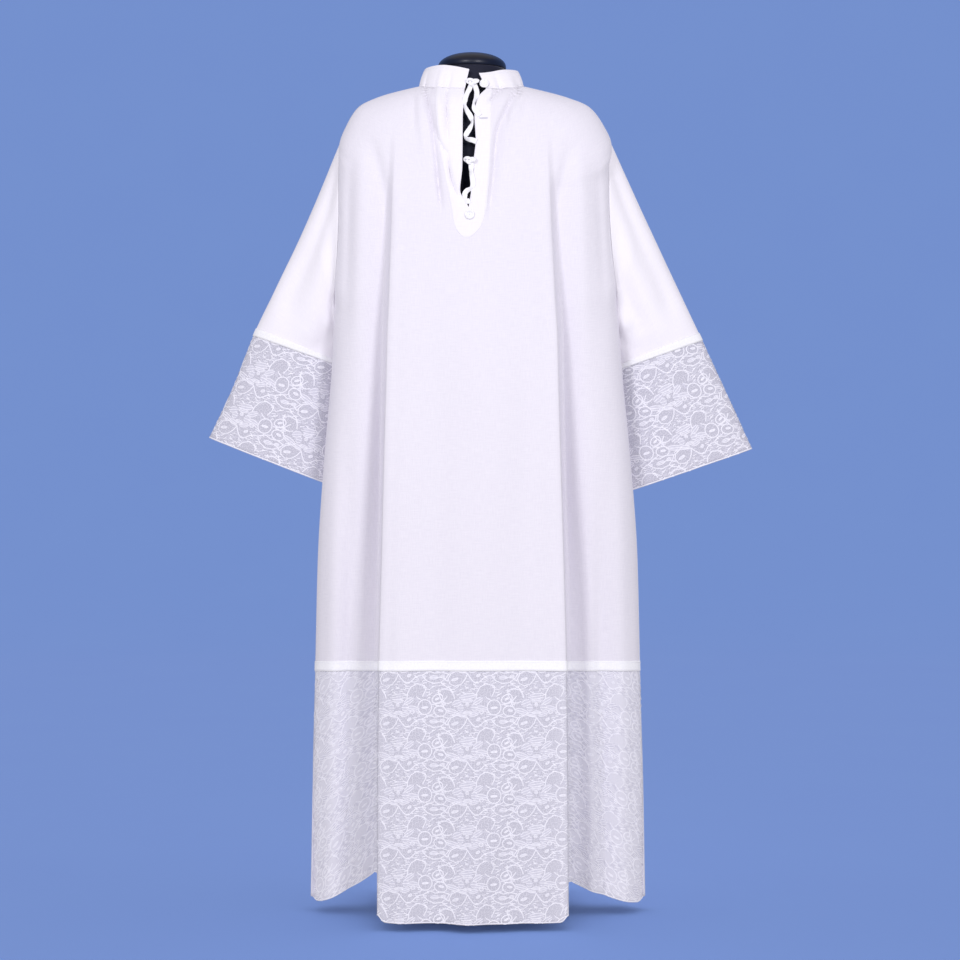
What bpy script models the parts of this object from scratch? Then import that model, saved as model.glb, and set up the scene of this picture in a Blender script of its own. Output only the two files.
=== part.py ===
"""A wide-sleeved white alb with lace at the hem and cuffs, worn by a limbless dress form.

Metres, +Z up, the front faces -Y. The origin is on the floor, under the middle of the
stand's base. "Left" and "right" are those of someone who looks at the front: left is -X.
"""

import math

import bmesh
import bpy
from mathutils import Vector

# ---------------------------------------------------------------- driving sizes
CLOTH = 0.0014  # wall of the cotton cloth
LACE = 0.0011  # wall of the lace panels
TAPE = 0.0008  # woven tape over the seams
BAND = 0.0022  # folded and faced collar band
SEAM_GAP = 0.0004  # clearance between two sewn pieces
ARMHOLE_GAP = 0.0011  # the sleeve's wall leans towards the body, so it starts further out
LAID_GAP = 0.0003  # clearance between a piece and what it lies on

PLACKET_OUT = CLOTH + LAID_GAP * 2  # the placket's back face, out from the front's inside

TAPE_WIDTH = 0.016
SLEEVE_LENGTH_TO_TAPE = 0.60  # share of the sleeve, measured along its outer edge
CUFF_TAPE_REACH = 0.016  # half the width of the cuff's tape, as a share of the sleeve
CUFF_SEAM_SHARE = 0.002  # the sleeve's seam gap, as a share of the sleeve
CUFF_TAPE_OUT = CLOTH + LAID_GAP * 3.5  # clear of the bend in the sleeve under it
MITRE_LIMIT = 0.35  # keeps the offset outline from running out at a sharp fold

NECK_RADIUS = 0.0575
NECK_TOP = 1.416
CAP_TOP = 1.4445
FORM_BOTTOM = 0.775
POLE_RADIUS = 0.014
BASE_RADIUS = 0.120
BASE_THICKNESS = 0.009
HUB_RADIUS = 0.030
HUB_TOP = 0.040

BUTTON_RADIUS = 0.0078
BUTTON_THICKNESS = 0.0036

# Girths of the body from the neckline to the hem. Every row crosses the front and the
# back: half is its half width, mid_x its centre, side_* where the seam runs (shoulder,
# then armhole, then side), front_* and back_* the middle of each panel. fold_* is where
# the two long folds bound the centre panel, depth how far they go in, lift how much the
# cloth in the fold hangs short, and back_square over 1 where the back panel is pinched in
# beside the hanging sleeves.
GIRTH_COLUMNS = (
    "half", "mid_x", "side_z", "side_y", "front_y", "front_z", "back_y", "back_z",
    "fold_left", "fold_right", "depth", "lift", "back_square",
)  # fmt: skip
GIRTHS = (
    (0.0915, -0.0015, 1.3890, 0.000, -0.078, 1.371, 0.070, 1.395, -0.060, 0.060, 0.000, 0.000, 0.80),
    (0.1250, 0.0000, 1.3815, 0.000, -0.093, 1.352, 0.085, 1.383, -0.080, 0.080, 0.000, 0.000, 0.80),
    (0.1600, 0.0010, 1.3720, 0.000, -0.106, 1.320, 0.099, 1.360, -0.100, 0.100, 0.000, 0.000, 0.80),
    (0.1920, 0.0030, 1.3560, 0.000, -0.115, 1.280, 0.110, 1.325, -0.122, 0.121, 0.001, 0.000, 0.80),
    (0.2155, 0.0050, 1.3250, 0.000, -0.122, 1.237, 0.118, 1.280, -0.125, 0.123, 0.005, 0.000, 0.80),
    (0.2315, 0.0060, 1.2900, 0.000, -0.128, 1.197, 0.124, 1.237, -0.127, 0.125, 0.010, 0.000, 0.80),
    (0.2425, 0.0070, 1.2550, 0.000, -0.132, 1.169, 0.128, 1.195, -0.129, 0.127, 0.016, 0.001, 0.80),
    (0.2330, 0.0060, 1.1950, 0.045, -0.136, 1.115, 0.131, 1.135, -0.131, 0.130, 0.022, 0.002, 0.85),
    (0.2380, 0.0070, 1.1250, 0.055, -0.139, 1.060, 0.134, 1.075, -0.133, 0.133, 0.030, 0.003, 0.95),
    (0.2460, 0.0090, 1.0600, 0.040, -0.142, 1.005, 0.137, 1.015, -0.135, 0.136, 0.036, 0.004, 1.05),
    (0.2525, 0.0115, 1.0150, 0.000, -0.145, 0.960, 0.140, 0.965, -0.137, 0.139, 0.045, 0.006, 1.20),
    (0.2590, 0.0110, 0.9050, 0.000, -0.150, 0.875, 0.145, 0.880, -0.139, 0.141, 0.060, 0.008, 1.30),
    (0.2640, 0.0100, 0.7750, 0.000, -0.155, 0.760, 0.150, 0.765, -0.142, 0.144, 0.075, 0.006, 1.20),
    (0.2690, 0.0095, 0.5950, 0.000, -0.161, 0.595, 0.156, 0.595, -0.146, 0.149, 0.090, 0.003, 1.00),
    (0.2735, 0.0095, 0.4108, 0.000, -0.168, 0.426, 0.162, 0.411, -0.150, 0.153, 0.104, 0.000, 0.85),
    (0.2790, 0.0100, 0.2200, 0.000, -0.173, 0.227, 0.167, 0.220, -0.152, 0.155, 0.118, 0.018, 0.80),
    (0.2825, 0.0100, 0.0140, 0.000, -0.178, 0.012, 0.172, 0.013, -0.152, 0.156, 0.135, 0.045, 0.80),
)
SHOULDER_TIP_ROW = 6
UNDERARM_ROW = 10
TAPE_ROW = 14
HEM_ROW = 16
SHOULDER_ROUNDING = 1.7  # the shoulder rows leave the seam level, then drop
FRONT_SQUARENESS = 0.80  # under 1 flattens the middle of a panel

FOLD_WALL = 0.011  # the near wall of a long fold goes in over this width
FOLD_RETURN = 0.055  # and comes out again over about this width
FOLD_REST = 0.45  # share of the depth that the side panel keeps
FOLD_VALLEY = 0.022  # from the fold's edge to the far side of its valley
FOLD_VALLEY_SHARE = 0.30  # the valley takes at most this share of a narrow side panel

# Columns of the body between its long folds and seams, as shares of that width, and in the
# middle, as X values: on the back, and on the front once the slit has ended.
SIDE_COLUMNS = (0.0, 0.06, 0.22, 0.50, 0.78)
BACK_MIDDLE_COLUMNS = (-0.050, 0.000, 0.050)
FRONT_MIDDLE_COLUMNS = (-0.050, -0.018, 0.012, 0.046)
FRONT_SPREAD_ROWS = 4  # the columns reach those places over this many rows

# The slit and the placket that faces it, row by row from the neckline, as X values.
SLIT_COLUMNS = ("placket_left", "slit_left", "slit_right", "placket_right")
SLIT = (
    (-0.0400, -0.0127, 0.0255, 0.0300),
    (-0.0390, -0.0135, 0.0105, 0.0292),
    (-0.0375, -0.0155, 0.0050, 0.0285),
    (-0.0355, -0.0157, 0.0072, 0.0275),
    (-0.0340, -0.0160, 0.0025, 0.0262),
    (-0.0325, -0.0195, 0.0000, 0.0250),
    (-0.0315, -0.0065, -0.0040, 0.0235),
)
PLACKET_CORNER_V = 6.60  # the straight sides end here, and the point is at PLACKET_TIP_V
PLACKET_TIP_V = 6.93
PLACKET_TIP_X = -0.0057
PLACKET_TIP_STEP = 0.0010  # between the four columns at the point, which is cut blunt
PLACKET_INSET = 0.004  # the flat front's depth is read this far in from the placket's side

# The sleeve, from the armhole to the cuff: t is the share of its length; outer and
# inner are the two edges of the flattened tube; mid_y and half_depth its place and
# half thickness. The mirror image is shifted and stretched a little.
SLEEVE_COLUMNS = ("t", "outer_x", "outer_z", "inner_x", "inner_z", "mid_y", "half_depth")
LEFT_SLEEVE = (
    (0.16, -0.2705, 1.178, -0.2490, 0.999, 0.016, 0.048),
    (0.36, -0.3120, 1.087, -0.2480, 0.967, 0.026, 0.044),
    (0.60, -0.3683, 0.977, -0.2400, 0.924, 0.040, 0.039),
    (0.80, -0.4020, 0.888, -0.2430, 0.823, 0.046, 0.036),
    (1.00, -0.4430, 0.797, -0.2480, 0.717, 0.052, 0.034),
)
RIGHT_SLEEVE = (
    (0.16, 0.2860, 1.179, 0.2720, 0.997, 0.016, 0.048),
    (0.36, 0.3310, 1.083, 0.2710, 0.961, 0.026, 0.044),
    (0.60, 0.3874, 0.969, 0.2610, 0.915, 0.040, 0.039),
    (0.80, 0.4310, 0.875, 0.2640, 0.812, 0.046, 0.036),
    (1.00, 0.4757, 0.778, 0.2690, 0.704, 0.052, 0.034),
)
SLEEVE_POINTS = 24  # points around a sleeve, a multiple of 12 to meet the armhole rows

# The stand collar: top edge over the neckline, by the angle from the front, degrees.
# The band runs from the second of its open angles round the back to the first.
COLLAR_TOP_COLUMNS = ("angle", "top_z")
COLLAR_TOP = (
    (-90, 1.4160), (-45, 1.4150), (-3, 1.4050), (9, 1.3985),
    (45, 1.4075), (90, 1.4140), (180, 1.4270), (270, 1.4160),
)  # fmt: skip
COLLAR_OPEN_BOTTOM = (-7.0, 16.5)
COLLAR_OPEN_TOP = (-2.4, 9.2)
COLLAR_TOP_HALF_WIDTH = 0.0805
COLLAR_TOP_FRONT = 0.0680
COLLAR_TOP_BACK = 0.0620
COLLAR_SEGMENTS = 30

# The dress form under the cloth: how far it lies inside the cloth at each of the first
# rows, which it carries, and the half widths and depths of its rings below the chest.
FORM_INSET = (0.0022, 0.0018, 0.0016, 0.0026, 0.0150, 0.0240)
FORM_COLUMNS = ("z", "half", "front_y", "back_y")
FORM = (
    (1.1400, 0.1860, -0.1100, 0.1030),
    (1.0650, 0.1760, -0.1080, 0.0980),
    (0.9650, 0.1560, -0.0980, 0.0860),
    (0.8750, 0.1600, -0.0980, 0.0900),
    (0.8050, 0.1640, -0.0990, 0.0950),
    (0.7830, 0.1580, -0.0940, 0.0900),
)
FORM_SEGMENTS = 40

# The flat tape that laces the slit: X and Z along each strand, top to bottom.
LACING_WIDTH = 0.0060
LACING_THICKNESS = 0.0011
LACING = {
    "left": (
        (-0.0030, 1.3766), (-0.0068, 1.3625), (-0.0040, 1.3560), (-0.0088, 1.3480),
        (-0.0127, 1.3345), (-0.0030, 1.3215), (0.0010, 1.3120), (0.0000, 1.2990),
        (-0.0057, 1.2905), (-0.0100, 1.2860), (-0.0060, 1.2800), (0.0060, 1.2790),
    ),
    "right": (
        (0.0052, 1.3766), (0.0080, 1.3640), (0.0054, 1.3525), (0.0022, 1.3380),
        (0.0060, 1.3280), (0.0120, 1.3230),
    ),
    "low": (
        (-0.0050, 1.2400), (-0.0070, 1.2290), (-0.0035, 1.2170), (0.0000, 1.2040),
        (-0.0030, 1.1960), (-0.0085, 1.1870), (-0.0075, 1.1790), (-0.0030, 1.1750),
    ),
}  # fmt: skip
# The knots: X, Z, half width, half height, half depth, and how far the middle is out from
# the placket's outer face.
KNOTS = {
    "collar": (0.0012, 1.3820, 0.0117, 0.0056, 0.0042, 0.0022),
    "middle": (-0.0067, 1.2495, 0.0088, 0.0050, 0.0040, -0.0010),
}
COLLAR_BUTTON = (0.0215, 0.30)  # its X, and its height as a share of the collar band
PLACKET_BUTTON = (-0.0033, 1.1560)  # its X and Z


# ---------------------------------------------------------------- small helpers
def named(columns, values):
    return dict(zip(columns, values))


def between(columns, table, v):
    """The row at v, counted in rows, on straight lines between the table's rows."""
    low = min(int(v), len(table) - 2)
    share = v - low
    mixed = (a + (b - a) * share for a, b in zip(table[low], table[low + 1]))
    return named(columns, mixed)


def by_key(columns, table, key):
    """The row at a value of the first column, on straight lines between the rows."""
    for low, high in zip(table, table[1:]):
        if key <= high[0] or high is table[-1]:
            share = (key - low[0]) / (high[0] - low[0])
            return named(columns, (a + (b - a) * share for a, b in zip(low, high)))


def smooth(x):
    x = max(0.0, min(1.0, x))
    return x * x * (3 - 2 * x)


def fold_share(x, row):
    """How deep in a long fold the cloth at x is: 0 on the centre panel, 1 in the valley."""
    out = max(row["fold_left"] - x, x - row["fold_right"])
    if out <= 0:
        return 0.0
    back_out = math.exp(-((max(0.0, out - FOLD_WALL) / FOLD_RETURN) ** 2))
    return smooth(out / FOLD_WALL) * (FOLD_REST + (1 - FOLD_REST) * back_out)


def body_point(x, v, back=False):
    """The outside of the body at x and row v, on the front or the back panel."""
    row = between(GIRTH_COLUMNS, GIRTHS, v)
    slit = between(SLIT_COLUMNS, SLIT, min(v, SHOULDER_TIP_ROW))
    seen_x = x
    if not back and v <= SHOULDER_TIP_ROW + 1:  # the placket lies flat
        middle = (slit["placket_left"] + slit["placket_right"]) / 2
        reach = (slit["placket_right"] - slit["placket_left"]) / 2
        if abs(x - middle) < reach + 0.0001:
            seen_x = row["mid_x"] + reach
    sine = max(-1.0, min(1.0, (seen_x - row["mid_x"]) / row["half"]))
    out = math.sqrt(1 - sine * sine) ** (row["back_square"] if back else FRONT_SQUARENESS)
    side = "back" if back else "front"
    seam_y = row["side_y"] * (1 if back else -1)
    reach_y = row[side + "_y"] - seam_y
    folded = fold_share(x, row) * math.sqrt(out)
    y = seam_y + reach_y * out - math.copysign(row["depth"] * folded, reach_y)
    rounding = SHOULDER_ROUNDING if v < SHOULDER_TIP_ROW else 1.0
    drop = max(0.0, (y - seam_y) / reach_y) ** rounding
    z = row["side_z"] + (row[side + "_z"] - row["side_z"]) * drop + row["lift"] * folded
    return Vector((x, y, z))


def stations(v, front):
    """X of every column at row v, left to right, with the seams at both ends."""
    row = between(GIRTH_COLUMNS, GIRTHS, v)
    slit = between(SLIT_COLUMNS, SLIT, min(v, SHOULDER_TIP_ROW))
    left = row["mid_x"] - row["half"]
    right = row["mid_x"] + row["half"]
    valley = min(FOLD_VALLEY, (row["fold_left"] - left) * FOLD_VALLEY_SHARE)
    wall = valley * FOLD_WALL / FOLD_VALLEY
    outer_left = row["fold_left"] - valley
    outer_right = row["fold_right"] + valley
    spread_left = [left + (outer_left - left) * share for share in SIDE_COLUMNS]
    spread_right = [right - (right - outer_right) * share for share in reversed(SIDE_COLUMNS)]
    middle = [slit[name] for name in SLIT_COLUMNS] if front else list(BACK_MIDDLE_COLUMNS)
    if front and v > SHOULDER_TIP_ROW:  # below the slit the columns spread again
        away = min(1.0, (v - SHOULDER_TIP_ROW) / FRONT_SPREAD_ROWS)
        middle = [x + (wide - x) * away for x, wide in zip(middle, FRONT_MIDDLE_COLUMNS)]
    inner_left = row["fold_left"] + (middle[0] - row["fold_left"]) * 0.5
    inner_right = row["fold_right"] + (middle[-1] - row["fold_right"]) * 0.5
    return (
        spread_left
        + [outer_left, row["fold_left"] - wall, row["fold_left"], inner_left]
        + middle
        + [inner_right, row["fold_right"], row["fold_right"] + wall, outer_right]
        + spread_right
    )


def ring(v, extra=0.0, lower=0.0):
    """The closed outline of the body at row v, left seam, front, right seam, back, moved
    out by extra with mitred corners and down by lower."""
    front = [body_point(x, v) for x in stations(v, True)]
    back = [body_point(x, v, True) for x in reversed(stations(v, False))]
    points = front + back[1:-1]
    return [p - Vector((0, 0, lower)) for p in moved_out(points, extra)]


def moved_out(points, extra):
    """A closed, anticlockwise loop offset sideways in plan by extra."""
    moved = []
    for before, at, after in zip(points[-1:] + points[:-1], points, points[1:] + points[:1]):
        one = (at - before).to_2d().normalized()
        two = (after - at).to_2d().normalized()
        normal = Vector((one.y + two.y, -one.x - two.x)).normalized()
        mitre = extra / max(MITRE_LIMIT, normal.dot(Vector((one.y, -one.x))))
        moved.append(at + Vector((normal.x * mitre, normal.y * mitre, 0)))
    return moved


# ---------------------------------------------------------------- making objects
def make_material(name, colour, roughness, metallic=0.0):
    material = bpy.data.materials.new(name)
    material.use_nodes = True
    shader = material.node_tree.nodes["Principled BSDF"]
    shader.inputs["Base Color"].default_value = (*colour, 1)
    shader.inputs["Roughness"].default_value = roughness
    shader.inputs["Metallic"].default_value = metallic
    return material


def add_object(name, mesh, material, collection):
    part = bpy.data.objects.new(name, mesh)
    collection.objects.link(part)
    part.data.materials.append(material)
    return part


def move_to(part, collection):
    for owner in list(part.users_collection):
        owner.objects.unlink(part)
    collection.objects.link(part)


def grid_object(name, rows, material, collection, closed=False, left_out=()):
    """A surface through rows of points; left_out names faces, by row and column, that
    are openings in it."""
    mesh = bmesh.new()
    grid = [[mesh.verts.new(p) for p in row] for row in rows]
    count = len(rows[0])
    for r in range(len(rows) - 1):
        for c in range(count if closed else count - 1):
            if (r, c) not in left_out:
                d = (c + 1) % count
                mesh.faces.new((grid[r][c], grid[r + 1][c], grid[r + 1][d], grid[r][d]))
    loose = [v for v in mesh.verts if not v.link_faces]
    bmesh.ops.delete(mesh, geom=loose, context="VERTS")
    data = bpy.data.meshes.new(name)
    mesh.to_mesh(data)
    mesh.free()
    return add_object(name, data, material, collection)


def thicken(part, thickness):
    """Gives a surface its wall, on the outside of it, so that seams on a ridge stay clear."""
    solidify = part.modifiers.new("wall", "SOLIDIFY")
    solidify.thickness = thickness
    solidify.offset = 1.0
    solidify.use_even_offset = True
    solidify.use_rim = True
    return part


def closed_loft(name, rings, material, collection):
    """A solid through closed rings, capped at both ends."""
    mesh = bmesh.new()
    grid = [[mesh.verts.new(p) for p in loop] for loop in rings]
    count = len(rings[0])
    for upper, lower in zip(grid, grid[1:]):
        for c in range(count):
            d = (c + 1) % count
            mesh.faces.new((upper[c], lower[c], lower[d], upper[d]))
    mesh.faces.new(grid[0])
    mesh.faces.new(list(reversed(grid[-1])))
    bmesh.ops.recalc_face_normals(mesh, faces=mesh.faces)
    data = bpy.data.meshes.new(name)
    mesh.to_mesh(data)
    mesh.free()
    return add_object(name, data, material, collection)


def turned(name, profile, material, collection, steps=32):
    """A turned solid: (radius, z) pairs down its outer side, from the axis to the axis."""
    mesh = bmesh.new()
    verts = [mesh.verts.new((radius, 0, z)) for radius, z in profile]
    for a, b in zip(verts, verts[1:]):
        mesh.edges.new((a, b))
    data = bpy.data.meshes.new(name)
    mesh.to_mesh(data)
    mesh.free()
    part = add_object(name, data, material, collection)
    screw = part.modifiers.new("turn", "SCREW")
    screw.steps = steps
    screw.render_steps = steps
    screw.use_merge_vertices = True
    screw.merge_threshold = 0.00001
    return part


# ---------------------------------------------------------------- the garment
def make_front(material, collection):
    rows = [[body_point(x, v) for x in stations(v, True)] for v in range(TAPE_ROW + 1)]
    slit_column = stations(0, True).index(SLIT[0][1])
    slit_faces = {(r, slit_column) for r in range(SHOULDER_TIP_ROW)}
    front = grid_object("body_front", rows, material, collection, left_out=slit_faces)
    return thicken(front, CLOTH)


def make_back(material, collection):
    """The back panel, drawn in by a seam's gap where it meets the front."""
    rows = []
    for v in range(TAPE_ROW + 1):
        row = [body_point(x, v, True) for x in reversed(stations(v, False))]
        row[0].y += SEAM_GAP
        row[-1].y += SEAM_GAP
        rows.append(row)
    return thicken(grid_object("body_back", rows, material, collection), CLOTH)


def make_hem_lace(material, collection):
    levels = (TAPE_ROW, TAPE_ROW + 0.5, TAPE_ROW + 1, TAPE_ROW + 1.5, HEM_ROW)
    rows = [ring(v, lower=SEAM_GAP if v == TAPE_ROW else 0.0) for v in levels]
    return thicken(grid_object("hem_lace", rows, material, collection, closed=True), LACE)


def make_hem_tape(material, collection):
    above = TAPE_WIDTH / 2 / (GIRTHS[TAPE_ROW - 1][2] - GIRTHS[TAPE_ROW][2])
    below = TAPE_WIDTH / 2 / (GIRTHS[TAPE_ROW][2] - GIRTHS[TAPE_ROW + 1][2])
    levels = (TAPE_ROW - above, TAPE_ROW, TAPE_ROW + below)
    rows = [ring(v, extra=CLOTH + LAID_GAP * 1.5) for v in levels]
    tape = grid_object("hem_tape", rows, material, collection, closed=True)
    return thicken(tape, TAPE)


def make_placket(material, collection):
    """Both facings of the slit in one piece with a pointed end, laid on the front."""
    levels = list(range(SHOULDER_TIP_ROW + 1)) + [PLACKET_CORNER_V, PLACKET_TIP_V]
    rows = []
    for v in levels:
        slit = between(SLIT_COLUMNS, SLIT, min(v, SHOULDER_TIP_ROW))
        xs = [slit[name] for name in SLIT_COLUMNS]
        if v == 0:  # the right facing keeps a width at the neckline
            xs[2] = min(xs[2], xs[3] - PLACKET_INSET)
        if v == PLACKET_CORNER_V:
            xs[1] = (xs[0] * 2 + xs[3]) / 3
            xs[2] = (xs[0] + xs[3] * 2) / 3
        if v == PLACKET_TIP_V:
            xs = [PLACKET_TIP_X + PLACKET_TIP_STEP * step for step in (-1.5, -0.5, 0.5, 1.5)]
        low = min(int(v), SHOULDER_TIP_ROW)
        above = body_point(SLIT[low][0] + PLACKET_INSET, low)
        below = body_point(SLIT[low][0] + PLACKET_INSET, low + 1)
        at = above.lerp(below, v - low)
        rows.append([Vector((x, at.y - PLACKET_OUT, at.z)) for x in xs])
    open_faces = {(r, 1) for r in range(SHOULDER_TIP_ROW)}
    placket = grid_object("placket", rows, material, collection, left_out=open_faces)
    return thicken(placket, CLOTH)


def neck_edge(angle):
    """The neckline at an angle from the front, degrees, anticlockwise from above."""
    x = GIRTHS[0][1] + GIRTHS[0][0] * math.sin(math.radians(angle))
    return body_point(x, 0, math.cos(math.radians(angle)) < 0)


def collar_edges(low_angle, top_angle):
    """The collar's lower and upper edge at these angles from the front, degrees."""
    turn = math.radians(top_angle)
    depth = COLLAR_TOP_FRONT if math.cos(turn) > 0 else COLLAR_TOP_BACK
    key = top_angle - 360 if top_angle > 270 else top_angle
    top_z = by_key(COLLAR_TOP_COLUMNS, COLLAR_TOP, key)["top_z"]
    x = GIRTHS[0][1] + COLLAR_TOP_HALF_WIDTH * math.sin(turn)
    top = Vector((x, -depth * math.cos(turn), top_z))
    return neck_edge(low_angle) + Vector((0, 0, BAND / 2 + SEAM_GAP * 2)), top


def make_collar(material, collection):
    low_turn = 360 + COLLAR_OPEN_BOTTOM[0] - COLLAR_OPEN_BOTTOM[1]
    top_turn = 360 + COLLAR_OPEN_TOP[0] - COLLAR_OPEN_TOP[1]
    rows = [[], []]
    for step in range(COLLAR_SEGMENTS + 1):
        share = step / COLLAR_SEGMENTS
        low_angle = COLLAR_OPEN_BOTTOM[1] + low_turn * share
        low, top = collar_edges(low_angle, COLLAR_OPEN_TOP[1] + top_turn * share)
        rows[0].append(top)
        rows[1].append(low)
    return thicken(grid_object("collar", rows, material, collection), BAND)


def sleeve_ring(table, t, side, extra=0.0):
    """A ring of the sleeve at share t, from its outer edge through the front."""
    mesh_ring = []
    for step in range(SLEEVE_POINTS):
        turn = 2 * math.pi * step / SLEEVE_POINTS
        if t == 0:
            v = (SHOULDER_TIP_ROW + UNDERARM_ROW) / 2
            v -= math.cos(turn) * (UNDERARM_ROW - SHOULDER_TIP_ROW) / 2
            row = between(GIRTH_COLUMNS, GIRTHS, v)
            y = -math.copysign(row["side_y"], math.sin(turn))
            gap = ARMHOLE_GAP * (1 + max(0, v - UNDERARM_ROW + 1))
            x = row["mid_x"] + side * (row["half"] + CLOTH + gap)
            mesh_ring.append(Vector((x, y, row["side_z"])))
            continue
        row = by_key(SLEEVE_COLUMNS, table, t)
        outer = Vector((row["outer_x"], row["mid_y"], row["outer_z"]))
        inner = Vector((row["inner_x"], row["mid_y"], row["inner_z"]))
        across = (outer - inner).normalized()
        half = (outer - inner).length / 2 + extra
        depth = row["half_depth"] + extra
        middle = (outer + inner) / 2
        mesh_ring.append(middle + across * half * math.cos(turn) - Vector((0, depth * math.sin(turn), 0)))
    if side > 0:  # keeps the outside out on the mirrored sleeve
        mesh_ring = mesh_ring[:1] + mesh_ring[:0:-1]
    return mesh_ring


def make_sleeve(name, table, side, cloth, lace, tape, collection):
    seam = SLEEVE_LENGTH_TO_TAPE
    upper = [sleeve_ring(table, t, side) for t in (0, 0.16, 0.36, seam)]
    part = grid_object("sleeve_" + name, upper, cloth, collection, closed=True)
    thicken(part, CLOTH)
    lower = [sleeve_ring(table, t, side) for t in (seam + CUFF_SEAM_SHARE, 0.80, 1.0)]
    part = grid_object("cuff_lace_" + name, lower, lace, collection, closed=True)
    thicken(part, LACE)
    levels = [seam + step * CUFF_TAPE_REACH for step in (-1, 0, 1)]
    around = [sleeve_ring(table, t, side, CUFF_TAPE_OUT) for t in levels]
    part = grid_object("cuff_tape_" + name, around, tape, collection, closed=True)
    thicken(part, TAPE)


# ---------------------------------------------------------------- the dress form
def form_ring_under_cloth(row):
    """The form's ring just inside the cloth at a shoulder row."""
    inset = FORM_INSET[row]
    girth = named(GIRTH_COLUMNS, GIRTHS[row])
    points = []
    for step in range(FORM_SEGMENTS):
        turn = 2 * math.pi * step / FORM_SEGMENTS
        back = math.sin(turn) > 0
        out = abs(math.sin(turn)) ** FRONT_SQUARENESS
        x = girth["mid_x"] + (girth["half"] - inset) * math.cos(turn)
        depth = girth["back_y"] - inset if back else girth["front_y"] + inset
        z_mid = girth["back_z"] if back else girth["front_z"]
        rounding = SHOULDER_ROUNDING if row < SHOULDER_TIP_ROW else 1.0
        z = girth["side_z"] + (z_mid - girth["side_z"]) * out**rounding - inset
        points.append(Vector((x, depth * out, z)))
    return points


def form_ring(row):
    points = []
    for step in range(FORM_SEGMENTS):
        turn = 2 * math.pi * step / FORM_SEGMENTS
        depth = row["back_y"] if math.sin(turn) > 0 else row["front_y"]
        points.append(Vector((row["half"] * math.cos(turn), depth * abs(math.sin(turn)), row["z"])))
    return points


def make_form(material, cap_material, metal, collection):
    rings = []
    for radius, z in ((NECK_RADIUS - 0.002, NECK_TOP), (NECK_RADIUS, NECK_TOP - 0.002),
                      (NECK_RADIUS, NECK_TOP - 0.013), (NECK_RADIUS + 0.004, NECK_TOP - 0.023)):  # fmt: skip
        turns = [2 * math.pi * s / FORM_SEGMENTS for s in range(FORM_SEGMENTS)]
        rings.append([Vector((radius * math.cos(a), radius * math.sin(a), z)) for a in turns])
    rings += [form_ring_under_cloth(row) for row in range(len(FORM_INSET))]
    rings += [form_ring(named(FORM_COLUMNS, row)) for row in FORM]
    bottom = named(FORM_COLUMNS, FORM[-1])
    bottom.update(z=FORM_BOTTOM, half=bottom["half"] - 0.008, front_y=bottom["front_y"] + 0.008)
    rings.append(form_ring(bottom))
    closed_loft("form_torso", rings, material, collection)

    dome = [(0, CAP_TOP)]
    height = CAP_TOP - NECK_TOP - LAID_GAP - 0.006
    for step in range(1, 8):
        turn = math.pi / 2 * step / 7
        dome.append((NECK_RADIUS * math.sin(turn) ** 0.9, CAP_TOP - height + height * math.cos(turn)))
    dome += [(NECK_RADIUS, NECK_TOP + LAID_GAP + 0.001), (NECK_RADIUS - 0.001, NECK_TOP + LAID_GAP)]
    dome.append((0, NECK_TOP + LAID_GAP))
    turned("neck_cap", dome, cap_material, collection)

    base = [(0, HUB_TOP), (HUB_RADIUS - 0.008, HUB_TOP), (HUB_RADIUS - 0.004, HUB_TOP - 0.004)]
    base += [(HUB_RADIUS, BASE_THICKNESS + 0.006), (HUB_RADIUS + 0.006, BASE_THICKNESS)]
    base += [(BASE_RADIUS - 0.004, BASE_THICKNESS - 0.001), (BASE_RADIUS, BASE_THICKNESS - 0.004)]
    base += [(BASE_RADIUS, 0.001), (BASE_RADIUS - 0.001, 0), (0, 0)]
    turned("stand_base", base, metal, collection, steps=48)

    low = HUB_TOP + LAID_GAP
    high = FORM_BOTTOM - LAID_GAP
    bpy.ops.mesh.primitive_cylinder_add(
        vertices=24, radius=POLE_RADIUS, depth=high - low, location=(0, 0, (high + low) / 2)
    )
    pole = bpy.context.object
    pole.name = "stand_pole"
    pole.data.materials.append(metal)
    move_to(pole, collection)


# ---------------------------------------------------------------- buttons and lacing
def placket_face(z):
    """Y of the placket's outer face at height z, and how far it leans back per metre up.
    Over the neckline it goes straight up."""
    z = min(z, GIRTHS[0][5])
    for v in range(SHOULDER_TIP_ROW + 1):
        above = body_point(SLIT[v][0] + PLACKET_INSET, v)
        below = body_point(SLIT[min(v + 1, SHOULDER_TIP_ROW)][0] + PLACKET_INSET, v + 1)
        if below.z <= z or v == SHOULDER_TIP_ROW:
            lean = (above.y - below.y) / (above.z - below.z)
            return above.y + (z - above.z) * lean - PLACKET_OUT - CLOTH, lean


def make_button(name, place, lean, material, collection):
    """A round button whose back lies at place; lean is how far its top tips back."""
    tilt = math.atan(lean)
    out = Vector((0, -math.cos(tilt), math.sin(tilt)))
    bpy.ops.mesh.primitive_cylinder_add(
        vertices=20,
        radius=BUTTON_RADIUS,
        depth=BUTTON_THICKNESS,
        location=place + out * (BUTTON_THICKNESS / 2 + LAID_GAP),
        rotation=(math.pi / 2 - tilt, 0, 0),
    )
    button = bpy.context.object
    button.name = name
    button.data.materials.append(material)
    bevel = button.modifiers.new("rim", "BEVEL")
    bevel.width = 0.0009
    bevel.segments = 2
    move_to(button, collection)


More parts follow.
